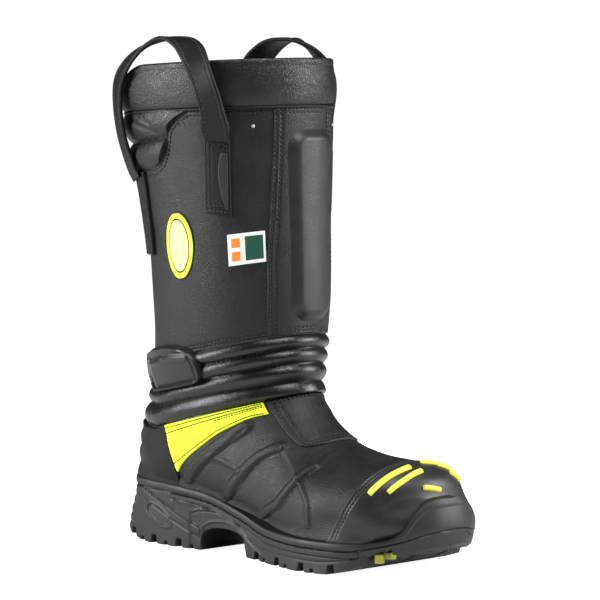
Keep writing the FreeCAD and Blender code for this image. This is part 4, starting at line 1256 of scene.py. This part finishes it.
def pull_strap(side, name, group):
    front_phi, rear_phi = side * (57.2 if side > 0 else 62.2), side * 125.6
    x, y, z, twist, sideways, shift = STRAP_PATH.T
    if side > 0:
        shift = 0 * shift
    start, start_normal = skin(front_phi, 18.95)
    end, end_normal = skin(rear_phi, 18.32)
    middle = np.column_stack([x - shift, -side * (y - 0.35 * shift), z])
    spline, knots = cubic_spline(np.vstack([start + STRAP_LIFT * start_normal, middle,
                                            end + STRAP_LIFT * end_normal]), power=0.75)
    even = np.linspace(0, knots[-1], 250)
    centre, tangent = spline(even)
    tangent = unit(tangent)

    # which way the strap faces: off the shaft at its ends, sideways over the arch
    outward = np.array((0, -side, 0.0))
    off_shaft = np.where(np.arange(len(x))[:, None] < 8, skin(front_phi, 19.4)[1],
                         skin(rear_phi, 18.8)[1])
    sideways = sideways[:, None]
    facing = np.vstack([start_normal, off_shaft * (1 - sideways) + outward * sideways,
                        end_normal])
    facing = np.stack([pchip(knots, column)(even) for column in facing.T], -1)
    facing = unit(facing - tangent * (facing * tangent).sum(1)[:, None])
    arch = np.cross(tangent, facing)
    away = (centre - np.array((-74.4, 0, 330.0))) * np.array([1, 0, 1])
    arch *= np.where((arch * away).sum(1) < 0, -1, 1)[:, None]
    angle = np.radians(pchip(knots, [0, *twist, 0])(even))[:, None]
    normal = facing * np.cos(angle) + arch * np.sin(angle)
    across = unit(np.cross(tangent, normal))

    # wider near the front end, thinner at both ends, slightly uneven along its length
    run = run_length(centre)
    total = run[-1]
    half = STRAP_HALF + (2.0 if side > 0 else 0.3) * bell(run, 10, 7.0)
    thin = 0.55 + 0.45 * np.minimum(smooth(run, 0, 8), smooth(total - run, 0, 8))
    waver = 0.25 * fractal(centre + outward * 40, 0.035, 2, 4.0 + side)
    width_share = np.linspace(-1, 1, 29)
    inset = (1 - np.abs(width_share)) * STRAP_HALF
    rounding = np.sqrt(np.maximum(0.0, 1 - np.maximum(0.0, 1 - inset / 1.3) ** 2.2))
    thickness = 1.35 * rounding + 0.28 * bell(inset, 2.0, 1.1) - 0.30 * bell(inset, 3.3, 0.4)
    rings = np.concatenate([
        sections(centre, across, normal, width_share[::face] * half[:, None],
                 face * thickness[::face] * thin[:, None] + waver[:, None])
        for face in (1, -1)], 1)
    strap = add_mesh(name, rings.reshape(-1, 3), capped_tube(grid_ids(*rings.shape[:2])),
                     "strap", sharp=60)

    count = int((total - 8) / 3.3)
    mids = 4 + (np.arange(count) + 0.5) * (total - 8) / count
    for edge in (-1, 1):
        seam = centre + across * (edge * (half - 3.3))[:, None]
        for face in (1, -1):
            on_face = seam + normal * (face * 1.16 + waver[:, None])
            keep_stitches(group, resample(mids, run, on_face),
                          unit(resample(mids, run, tangent)),
                          unit(resample(mids, run, across)),
                          unit(resample(mids, run, normal)) * face, 2.5, 0.42)
    return strap


# tabs that hold the strap ends: two lower and two upper corners each
TAB_CORNERS = (((53, 17.43), (69, 17.55), (50.3, 18.98), (64.6, 19.08)),
               ((119, 17.0), (137, 17.05), (115.4, 18.44), (133.4, 18.48)))
TAB_WIDTH, TAB_HEIGHT = 17.0, 43.0
# long narrow triangle of the webbing's smooth face: bottom, top, front, rear
TAB_FOLD_EDGES = ([(54.8, 17.56), (55.6, 17.56)], [(52.4, 18.66), (55.5, 18.69)],
                  [(54.8, 17.56), (53.4, 18.1), (52.4, 18.66)],
                  [(55.6, 17.56), (58.7, 18.2), (55.5, 18.69)])


def tab_loop(place, inset):
    """Rectangle inset from a tab's rim."""
    x, y = inset / TAB_WIDTH, inset / TAB_HEIGHT
    corners = [0, .25, .5, .75, 1]
    return lambda s: np.stack(place(np.interp(s, corners, [x, 1 - x, 1 - x, x, x]),
                                    np.interp(s, corners, [y, y, 1 - y, 1 - y, y])), -1)


def loop_tabs(side_name, side):
    parts = []
    for k, corners in enumerate(TAB_CORNERS):
        place = four_corners(*corners, side)
        loops = tab_loop(place, 2.0), tab_loop(place, 4.6)
        parts.append(sheet("tab_%s_%d" % (side_name, k), place, "strap", outer=2.7,
                           inner=0.2, grid=0.75, edge=1.0,
                           reliefs=[groove(loops[0], depth=0.35, width=0.6),
                                    groove(loops[1], depth=0.30, width=0.6)],
                           noise_amp=0.12, noise_scale=0.08, seed=k))
        for loop in loops:
            for start in (0, .25, .5, .75):
                stitch([lambda s: loop(start + 0.01 + 0.23 * s)], height=2.5, group="tabs",
                       spacing=3.0, length=2.3, radius=0.4)
        if k == 0:
            parts.append(sheet("tab_fold_" + side_name, coons(*TAB_FOLD_EDGES, side),
                               "fold", outer=3.5, inner=2.4, grid=0.6, edge=0.6))
    piece(join(parts, "loop_tab_%s_pair" % side_name), "shaft", "strap_webbing",
          "loop_tabs_" + side_name)


# reflective badge: nested upright lozenges
BADGE_PHI, BADGE_STA = 92.0, 17.08
BADGE_SIDE = [(2.0, -0.56), (11.0, -0.24), (12.2, 0.0), (11.0, 0.24), (2.0, 0.56)]
BADGE_LAYERS = (  # share of width, share of height, material, outer, inner, edge
    (1.0, 1.0, "badge_line", 0.55, 0.1, 0.5), (0.93, 0.955, "badge", 0.85, 0.3, 0.5),
    (0.72, 0.80, "badge_line", 0.98, 0.5, 0.4), (0.66, 0.755, "badge_in", 1.12, 0.6, 0.4))


def badge(side_name, side):
    parts = []
    for i, (wide, high, material, outer, inner, edge) in enumerate(BADGE_LAYERS):
        front, rear = ([(BADGE_PHI + sign * x * wide, BADGE_STA + y * high)
                        for x, y in BADGE_SIDE] for sign in (-1, 1))
        place = coons([front[0], rear[0]], [front[-1], rear[-1]], front, rear, side)
        parts.append(sheet("bd%d" % i, place, material, outer, inner, grid=0.8, edge=edge))
    piece(join(parts, "reflective_badge_" + side_name), "shaft", "badge_reflective",
          "shaft_badge_" + side_name)


for side_name, side in SIDES:
    piece(pull_strap(side, "pull_strap_" + side_name, "loop_" + side_name),
          side_name + "_loop", "strap_webbing", "pull_loop_" + side_name)
    loop_tabs(side_name, side)
    badge(side_name, side)

# ==================================================== woven label: blocks of colour
LABEL_BLOCKS = (  # phi from, to, station from, to, material, outer, inner, grid, edge
    (33.6, 57.2, 16.60, 17.14, "label", 0.75, 0.1, 0.8, 0.5),
    (35.0, 46.4, 16.66, 17.08, "green", 0.9, 0.5, 0.7, 0.3),
    (49.4, 54.8, 16.90, 17.06, "orange", 0.88, 0.5, 0.7, 0.3),
    (49.4, 54.8, 16.67, 16.83, "orange", 0.88, 0.5, 0.7, 0.3))
blocks = [sheet("lb%d" % i, four_corners((phi0, low), (phi1, low), (phi0, high), (phi1, high)),
                *rest)
          for i, (phi0, phi1, low, high, *rest) in enumerate(LABEL_BLOCKS)]
piece(join(blocks, "woven_label_blocks"), "shaft", "label_fabric", "woven_label")

# ==================================================== vents
VENTS = (  # phi, station, material, profile of (radius, height)
    # rimmed hole near the collar
    (78.5, 19.48, "metal_dark", [(2.9, -0.6), (2.9, -0.1), (2.6, 0.2), (2.1, 0.3),
                                 (1.7, 0.1), (1.5, -0.3), (1.4, -1.2)]),
    # small bright dome nearer the shin
    (37.5, 19.32, "metal", [(1.3, -0.6), (1.3, -0.1), (1.2, 0.15), (0.9, 0.4),
                            (0.6, 0.52), (0.35, 0.56), (0.1, 0.58)]))
vents = []
ring_x, ring_y = (c[:, None] for c in circle(24))
for _, side in SIDES:
    for phi, sta, material, profile in VENTS:
        centre, normal = skin(side * phi, sta)
        across = unit(np.cross(normal, [0, 0, 1.0]))
        up = np.cross(normal, across)
        radius, height = np.array(profile).T[:, :, None, None]
        verts = centre + (across * ring_x + up * ring_y) * radius + normal * height
        ids = grid_ids(7, 24)
        vents.append(add_mesh("vent", verts.reshape(-1, 3),
                              tube_quads(ids) + [ids[0].tolist(), ids[-1].tolist()],
                              material, sharp=50))
piece(join(vents, "vent_rings"), "shaft", "eyelet_metal", "vent_eyelets")

# ==================================================== outsole
# outline seen from above, from the back round the lateral side: x, y
OUTLINE = [
    (-162, 0), (-157, -23), (-142, -37), (-110, -43.5), (-68, -43.5), (-28, -42.5),
    (12, -49), (46, -57), (78, -59.5), (108, -55), (132, -39), (148, -17),
    (152, 5), (148, 26), (132, 43), (108, 51.5), (78, 53), (46, 51), (12, 42),
    (-28, 34), (-68, 34), (-110, 39.5), (-142, 36.5), (-157, 23)]
EDGE_COUNT = 1150   # columns round the outline
WALL_ROWS = 58      # rows down the side wall
UPPER_ROWS = 46     # of those, rows above the tread edge
BOTTOM_ROWS = 44    # rows from the tread edge to the middle line
# heights along x: top of the wall, bottom of the sole, underside of the upper
top_height = pchip([-164, -162, -125, -92, -57, -20, 20, 58, 95, 120, 130, 138, 144, 148.5,
                    152, 154],
                   [49, 49, 47, 46, 43, 34, 25, 23.5, 24, 25, 27, 34, 47, 54, 56, 56])
BOTTOM_HEIGHT = (
    [-163, -157, -150, -142, -131, -120, -62, -60.5, -58, -52, -45, -38, -31, -24, -18,
     -15, -12, 60, 75, 90, 102, 115, 124, 132, 143, 153],
    [14, 9, 5.6, 3, 1, 0, 0, 11.5, 14.2, 17, 18.1, 18.4, 18.1, 17, 15,
     12.5, 0, 0, 0.5, 1.5, 4.2, 8, 11.4, 15, 19.4, 23])
keel_height = pchip([-165, -137, -99.8, -58.2, -22.9, 8.3, 38, 66.5, 109.5, 124.5, 135,
                     143, 146, 155],
                    [43, 42, 37.4, 36.4, 33.3, 29.1, 25, 22.9, 22.9, 23.9, 25, 28.1,
                     37.4, 50])
# y of the sole's middle line along x
middle_y = pchip([-170, -150, -110, -68, -28, 12, 46, 78, 108, 132, 155],
                 [0, 0, -2, -4.7, -4.2, -3.5, -3, -3.2, -1.8, 2, 4.6])
# heights along x of the wall's lines: under the rim, over the tread, over the waist
rim_line = pchip([-165, -125, -92, -57, -20, 20, 58, 95, 105, 120, 130, 141, 148, 153],
                 [43.4, 41.4, 40.4, 37.4, 28.4, 19.6, 18.2, 18.6, 19.0, 21.8, 24.4, 28.4,
                  32, 35])
tread_line = pchip([-75, -73.5, -62, -50, -36, -22, -8, 8, 40, 75, 100, 118, 130, 135],
                   [26.3, 26.5, 29.5, 30.2, 28, 22.5, 15, 10, 9.0, 9.4, 12, 17.2, 21.5, 23])
waist_line = pchip([-60, -56, -50, -38, -26, -16, -6, 4, 16],
                   [17.5, 19.6, 22, 23.2, 21.4, 16.4, 10.5, 6.5, 4.0])
# x of the tread cuts where they meet the edge: wide, short, and across the middle
WIDE_CUTS = (-140, -112, -84, 2, 32, 62, 92)
SHORT_CUTS = (-126, -98, -71, 13.5, 43.5, 73.5)
MIDDLE_CUTS = (-97, -126, 17, 47, 77, 107)
# slanting cuts round the toe: arc and height of one end, then of the other
TOE_CUTS = ((-6, 24, 2, 17), (12, 31.5, 19, 27.5), (-24, 20.5, -17, 15), (30, 28, 37, 22))


def closed_outline(points, count):
    """Evenly spaced points on the closed spline, and its length."""
    spline, knots = cubic_spline(points, closed=True)
    dense, _ = spline(np.linspace(0, knots[-1], count * 4 + 1)[:-1])
    dense = np.vstack([dense, dense[:1]])
    run = run_length(dense)
    return resample(np.linspace(0, run[-1], count + 1)[:-1], run, dense), run[-1]


def bottom_height(x):
    return np.interp(x, *BOTTOM_HEIGHT)


def tread(x, y, inset, half_width):
    """Depth of the tread cuts at (x, y), inset in from the edge."""
    depth = np.zeros_like(x)
    for cut in WIDE_CUTS:
        off = np.abs(x - cut - 0.30 * np.minimum(inset, 34))
        depth = np.maximum(depth, 6.3 * (1 - smooth(off, 2.5, 3.9))
                           * (1 - smooth(inset, 33, 37)))
    for cut in SHORT_CUTS:
        off = np.abs(x - cut - 0.3 * inset)
        depth = np.maximum(depth, 3.2 * (1 - smooth(off, 1.2, 2.5))
                           * (1 - smooth(inset, 8, 11)))
    # two lengthwise channels under the ball and under the heel
    zones = np.maximum(band(x, -4, 0, 128, 134),
                       (1 - smooth(x, -70, -66)) * smooth(x, -150, -146))
    from_middle = y - middle_y(x)
    for channel in (-17, 17):
        off = np.abs(from_middle - channel * np.clip(half_width / 45, 0.5, 1.2))
        depth = np.maximum(depth, 4.6 * (1 - smooth(off, 1.4, 2.6))
                           * smooth(inset, 12, 14) * zones)
    for cut in MIDDLE_CUTS:
        off = np.abs(x - cut + 0.35 * np.abs(from_middle))
        depth = np.maximum(depth, 3.6 * (1 - smooth(off, 1.1, 2.2)) * smooth(inset, 20, 23))
    # open bay at the front corner of the tread, where the coloured lugs stand
    bay = band(x, 116.5, 118, 132.5, 134) * (1 - smooth(inset, 14, 16))
    depth = np.maximum(depth, 6.8 * bay)
    # none under the waist, little under the toe tip
    return depth * (1 - band(x, -61.5, -60, -14, -12.5)) * (1 - smooth(x, 134, 138) * 0.9)


outline, perimeter = closed_outline(OUTLINE, EDGE_COUNT)
tangent = unit(np.roll(outline, -1, 0) - np.roll(outline, 1, 0))
outward = np.stack([tangent[:, 1], -tangent[:, 0]], -1)
edge_x, edge_y = outline.T
middle = np.clip(edge_x, -128, 112)
middle = np.stack([middle, middle_y(middle)], -1)
half_width = np.linalg.norm(outline - middle, axis=1)
# distance round the edge from the toe tip, growing toward +Y
half_count = EDGE_COUNT // 2
arc = ((np.arange(EDGE_COUNT) - np.argmax(edge_x) + half_count) % EDGE_COUNT
       - half_count) * perimeter / EDGE_COUNT
top_z = top_height(edge_x) - 3.5 * smooth(arc, 4, 26) * smooth(edge_x, 126, 142)
bottom_z = bottom_height(edge_x)
tread_z = bottom_z + tread(edge_x, edge_y, np.zeros(EDGE_COUNT), half_width)


def wall_offset(z):
    """How far the side wall stands out from the outline; one row of z per column."""
    x, top, bottom, cut_z, along = (
        values[:, None] for values in (edge_x, top_z, bottom_z, tread_z, arc))
    toe, back = smooth(x, 112, 128), 1 - smooth(x, -150, -136)
    rim, panel_z = rim_line(x), top - 10.2
    # round rim at the top, and the groove under it
    out = 1.15 * np.sqrt(np.clip(1 - ((top - z - 2.5) / 2.7) ** 2, 0, 1)) * (1 - 0.55 * toe)
    out -= 1.05 * bell(z, rim, 0.55)
    # long raised panel on the side, with a groove below and one at its front
    panel = band(x, -95, -92, 112, 114)
    out += 0.55 * band(z, panel_z, panel_z + 0.8, rim - 0.9, rim - 0.2) * panel
    out -= 0.8 * bell(z, panel_z, 0.5) * panel
    out -= 0.7 * bell(x, 113.6, 0.7) * band(z, panel_z - 0.5, panel_z, rim - 0.5, rim)
    # tread line and the arcs over the waist
    line = tread_line(np.clip(x, -75, 135))
    out -= ((0.9 * bell(z, line, 0.6) + 0.7 * (1 - smooth(z, line - 0.8, line)))
            * band(x, -74, -70, 126, 134))
    out += 0.75 * bell(z, line + 1.1, 0.75) * band(x, -72, -64, -16, 0)
    line = waist_line(np.clip(x, -60, 16))
    waist = band(x, -60, -57, 4, 16)
    out -= 0.9 * (1 - smooth(z, line - 0.8, line)) * waist
    out += 0.7 * bell(z, line + 0.6, 0.7) * waist
    # heel: slanting bar, then an oval recess with a raised rim
    heel = (1 - smooth(x, -63, -61)) * (1 - back)
    bar_z = 36.8 - 0.3566 * (x + 127.7)
    off_bar = np.abs(z - bar_z) * 0.942
    out += (heel * (0.8 * (1 - smooth(off_bar, 2.6, 3.4)) - 0.6 * bell(off_bar, 3.9, 0.5))
            * (1 - smooth(z, rim - 1.2, rim - 0.4)))
    oval_x, oval_z = x + 108, z - 22
    oval = np.sqrt(((oval_x * 0.94 - oval_z * 0.34) / 16.5) ** 2
                   + ((oval_z * 0.94 + oval_x * 0.34) / 6.6) ** 2)
    out += heel * (-0.8 * (1 - smooth(oval, 0.80, 0.90)) + 0.45 * bell(oval, 1.0, 0.09))
    # shallow sunk area between the bar and the panel's lower line
    out -= (0.45 * heel * smooth(x, -92, -88)
            * band(z, bar_z + 4.6, bar_z + 5.2, panel_z - 1.6, panel_z - 1.0))
    # scallops round the back, flared foot of the heel, flare under the ball
    out += (back * (np.abs(np.sin(np.pi * (z - 5.5) / 6.9)) ** 0.7 - 0.6)
            * (1 - smooth(z, 41, 44)))
    above = z - bottom
    out += ((0.35 + 0.65 * back) * 2.8 * np.clip(1 - above / 26, 0, 1)
            * (1 - smooth(x, -95, -70)))
    out += 0.6 * np.clip(1 - above / 9, 0, 1) * smooth(x, -10, 5) * (1 - toe)
    out -= (1 - smooth(x, -112, -84)) * (1.0 + 1.2 * back) * 1.7 * smooth(z, 14, 50)
    # toe: leans in higher up, tucks in underneath, short slanting cuts
    lean = smooth(x, 118, 140)
    out -= lean * (0.0085 * np.clip(z - 38, 0, 40) ** 2 + 0.010 * np.clip(30 - z, 0, 20) ** 2)
    out += lean * 1.9 * bell(z, 34, 12.0)
    for arc0, z0, arc1, z1 in TOE_CUTS:
        cut_x, cut_y = arc1 - arc0, z1 - z0
        past_x, past_y = along - arc0, z - z0
        share = np.clip((past_x * cut_x + past_y * cut_y) / (cut_x ** 2 + cut_y ** 2), 0, 1)
        out -= 0.95 * bell(np.hypot(past_x - share * cut_x, past_y - share * cut_y), 0, 0.6)
    # the wall rounds over into the tread edge
    out -= 0.7 * np.clip(1 - (z - cut_z), 0, 1) ** 2
    return out


# a smooth line just above the cuts, where the even upper rows end
shoulder_z = tread_z + 0.9
for _ in range(14):
    shoulder_z = np.maximum(shoulder_z, np.maximum(np.roll(shoulder_z, 1),
                                                   np.roll(shoulder_z, -1)))
for _ in range(24):
    shoulder_z = (np.roll(shoulder_z, 1) + 2 * shoulder_z + np.roll(shoulder_z, -1)) / 4
shoulder_z = np.maximum(shoulder_z, tread_z + 0.6)
row = np.arange(WALL_ROWS)
upper = np.clip(row / UPPER_ROWS, 0, 1)
lower = np.clip((row - UPPER_ROWS) / (WALL_ROWS - 1 - UPPER_ROWS), 0, 1)
wall_z = np.where(row > UPPER_ROWS,
                  shoulder_z[:, None] * (1 - lower) + tread_z[:, None] * lower,
                  top_z[:, None] * (1 - upper) + shoulder_z[:, None] * upper)
wall_out = wall_offset(wall_z)
wall = [np.column_stack([outline + outward * wall_out[:, k, None], wall_z[:, k]])
        for k in range(WALL_ROWS)]
# lip: rounds over the top edge and runs in under the upper; inset and rise
LIP = ((14.0, 5.4), (11.0, 4.3), (8.5, 3.2), (6.0, 2.1), (4.0, 1.2), (2.6, 0.6),
       (1.4, 0.22), (0.6, 0.0))
lip = [np.column_stack([outline + outward * (wall_out[:, 0] - inset)[:, None],
                        top_z + rise * (1 - 0.8 * smooth(edge_x, 128, 144))])
       for inset, rise in LIP]
floor_rows = []
for share in (1.0, 0.75, 0.5, 0.28):
    xy = (outline - outward * 14.5) * (1 - share) + middle * share
    floor_rows.append(np.column_stack(
        [xy, np.minimum(keel_height(xy[:, 0]), top_z - 3.0) - 1.5]))
bottom_rows = []
for share in np.linspace(0, 1, BOTTOM_ROWS + 1)[1:] ** 0.92:
    xy = wall[-1][:, :2] * (1 - share) + middle * share
    z = bottom_height(xy[:, 0]) + tread(xy[:, 0], xy[:, 1], share * half_width, half_width)
    bottom_rows.append(np.column_stack([xy, z]))
points = np.stack(floor_rows + lip + wall + bottom_rows, 1)
piece(add_mesh("outsole_moulding", points.reshape(-1, 3),
               hoop_quads(grid_ids(*points.shape[:2])), "sole", sharp=38),
      "foot", "sole_rubber", "outsole")

# ==================================================== coloured lugs in the tread


def lug(centre, half, low, high, turn=0.0):
    """Bevelled block between two heights, turned by degrees about Z."""
    bm = bmesh.new()
    bmesh.ops.create_cube(bm, size=2.0)
    bmesh.ops.bevel(bm, geom=bm.edges[:], offset=0.28, segments=3, profile=0.6,
                    affect="EDGES")
    verts = np.array([vert.co[:] for vert in bm.verts])
    faces = [[vert.index for vert in face.verts] for face in bm.faces]
    bm.free()
    cos, sin = math.cos(math.radians(turn)), math.sin(math.radians(turn))
    x, y = verts[:, 0] * half[0], verts[:, 1] * half[1]
    points = np.stack([centre[0] + x * cos - y * sin, centre[1] + x * sin + y * cos,
                       (low + high) / 2 + verts[:, 2] * (high - low) / 2], -1)
    return add_mesh("lug", points, faces, "lug", sharp=40)


lugs = []
for out, y, rise in ((-1, -37, 0.0), (1, 35, 2.5)):
    lugs += [lug((123.4, y + out * 3.4), (3.1, 3.4), 11.4 + rise, 18.0, turn=-35 * out),
             lug((131.6, y - out * 2.0), (1.9, 2.2), 15.0 + rise, 19.5, turn=-45 * out),
             lug((122.5, y - out * 3.0), (7.5, 2.2), 13.6 + rise, 18.5, turn=-30 * out)]
lugs += [lug((x, y), (4.4, 4.4), low, 9.8)
         for x, y, low in ((40, -38, 0.9), (40, 26, 0.9), (-140, 0, 3.6))]
piece(join(lugs, "tread_lugs_coloured"), "foot", "yellow_rubber", "tread_inserts")

# ==================================================== fit of the upper to the sole
# The upper runs straight down into the sole edge, and the toe is drawn in above it.
FITTED = ["vamp_leather", "toe_guard_rubber", "toe_rib_set", "heel_cap_counter",
          "side_flash_lateral_fabric", "side_flash_medial_fabric"]
wall_inset = -wall_out[:, 3]
for _ in range(60):
    wall_inset = (np.roll(wall_inset, 4) + 2 * wall_inset + np.roll(wall_inset, -4)) / 4


def nearest_column(xy, batch=4000):
    """Nearest outline column of each point and its distance inside the outline."""
    column, inside = np.empty(len(xy), int), np.empty(len(xy))
    for start in range(0, len(xy), batch):
        part = xy[start:start + batch]
        near = ((part[:, None] - outline[None, ::2]) ** 2).sum(-1).argmin(1) * 2
        column[start:start + batch] = near
        inside[start:start + batch] = ((outline[near] - part) * outward[near]).sum(1)
    return column, inside


def fit_to_sole(obj):
    mesh = obj.data
    coords = np.empty(len(mesh.vertices) * 3)
    mesh.vertices.foreach_get("co", coords)
    points = coords.reshape(-1, 3) * 1000
    low = np.where(points[:, 2] < 90)[0]
    column, inside = nearest_column(points[low, :2])
    z, top = points[low, 2], top_z[column]
    weight = ((1 - smooth(z, top + 1, top + 15)) * (1 - smooth(inside, 19, 27))
              * (1 - smooth(edge_x[column], 114, 134)))
    shift = weight * 0.92 * np.maximum(inside - (wall_inset[column] + 1.1), 0)
    shift -= (smooth(points[low, 0], 108, 136) * 5.6 * bell(z, 54, 13.0)
              * (1 - smooth(inside, 10, 26)))
    points[low, :2] += outward[column] * shift[:, None]
    mesh.vertices.foreach_set("co", (points * 0.001).ravel())
    mesh.update()


for name in FITTED:
    fit_to_sole(bpy.data.objects[name])
cap = copy_node("safety_cap_shell", "safety_toe_cap", "plastic")
fit_to_sole(cap)
piece(cap, "foot", "toe_cap_composite", "safety_toe_cap")

# ==================================================== floor
FLOOR_HALF = 3.0  # metres
mesh = bpy.data.meshes.new("floor")
mesh.from_pydata([(x * FLOOR_HALF, y * FLOOR_HALF, 0)
                  for x, y in ((-1, -1), (1, -1), (1, 1), (-1, 1))], [], [(0, 1, 2, 3)])
floor = new_object("floor", mesh)
material, tree, shader = new_material("floor_paper")
camera_ray = add_node(tree, "LightPath", {}).outputs["Is Camera Ray"]
feed(tree, shader, {"Base Color": rgba(0.90), "Roughness": 0.9, "Emission Color": rgba(1),
                    "Emission Strength": math_node(tree, "MULTIPLY", camera_ray, 0.92)})
mesh.materials.append(material)

# ==================================================== stitch objects
for group, material, body in (
        ("foot", "thread", "blend"), ("flash", "thread", "blend"),
        ("shaft", "thread", "blend"), ("collar", "thread", "shaft"),
        ("tabs", "thread_light", "shaft"),
        ("loop_lateral", "thread_light", "lateral_loop"),
        ("loop_medial", "thread_light", "medial_loop")):
    stitches = build_stitches(group, material)
    if group in ("foot", "flash"):
        fit_to_sole(stitches)
    piece(stitches, body, "yellow_coated_fabric" if group == "flash" else "upper_leather")

# ==================================================== light and camera, in metres


def aim(obj, target):
    obj.rotation_euler = (Vector(target) - obj.location).to_track_quat("-Z", "Y").to_euler()


def area_light(location, target, size, power, size_y=None):
    light = bpy.data.lights.new("area", "AREA")
    light.energy = power
    light.size = size
    if size_y:
        light.shape = "RECTANGLE"
        light.size_y = size_y
    obj = new_object("area", light)
    obj.location = location
    aim(obj, target)


# the world looks white to the camera but lights the boot only faintly
world = bpy.data.worlds.new("studio")
scene.world = world
world.use_nodes = True
tree = world.node_tree
camera_ray = add_node(tree, "LightPath", {}).outputs["Is Camera Ray"]
feed(tree, tree.nodes["Background"],
     {0: rgba(1), 1: math_node(tree, "MULTIPLY_ADD", camera_ray, 0.97, 0.07)})

area_light((-1.35, -1.45, 0.75), (0, 0, 0.2), size=0.8, power=37, size_y=1.3)
area_light((1.45, 1.25, 0.85), (0, 0, 0.2), size=0.6, power=36, size_y=1.2)
area_light((0.30, -0.20, 1.7), (0.05, 0, 0.1), size=0.8, power=10)
area_light((0.85, -0.25, 1.55), (0.1, 0, 0.06), size=0.45, power=11)

scene.view_settings.view_transform = "Standard"
CAMERA_DISTANCE, CAMERA_HEIGHT = 2.290, 0.361
CAMERA_TURN = math.radians(46)  # from -Y toward +X
lens = bpy.data.cameras.new("camera")
lens.sensor_width = 36
lens.lens = 187.56
lens.shift_x, lens.shift_y = 0.00166667, 0.0133333
lens.clip_end = 20
camera = new_object("camera", lens)
camera.location = (CAMERA_DISTANCE * math.sin(CAMERA_TURN),
                   -CAMERA_DISTANCE * math.cos(CAMERA_TURN), CAMERA_HEIGHT)
aim(camera, (0, 0, 0.182))
scene.camera = camera

# ==================================================== materials of the remaining nodes
NODE_MATERIALS = {
    "midsole": "foam", "bottom_filler": "foam", "shank": "plastic", "insole_board": "board",
    "puncture_plate": "aramid", "footbed": "lining", "safety_toe_cap": "plastic",
    "toe_cap_edge_strip": "foam", "heel_stiffener": "plastic", "flex_zone_foam": "foam",
    "shaft_insulation": "foam", "calf_foam": "foam", "collar_foam": "foam",
    "vent_eyelets": "metal", "tread_inserts": "yellow_rubber", "outsole": "sole",
    "lining": "lining"}
for name, obj in NODES.items():
    if not obj.hide_render:
        obj.data.materials.clear()
        obj.data.materials.append(MATERIALS[NODE_MATERIALS.get(name, "leather")])
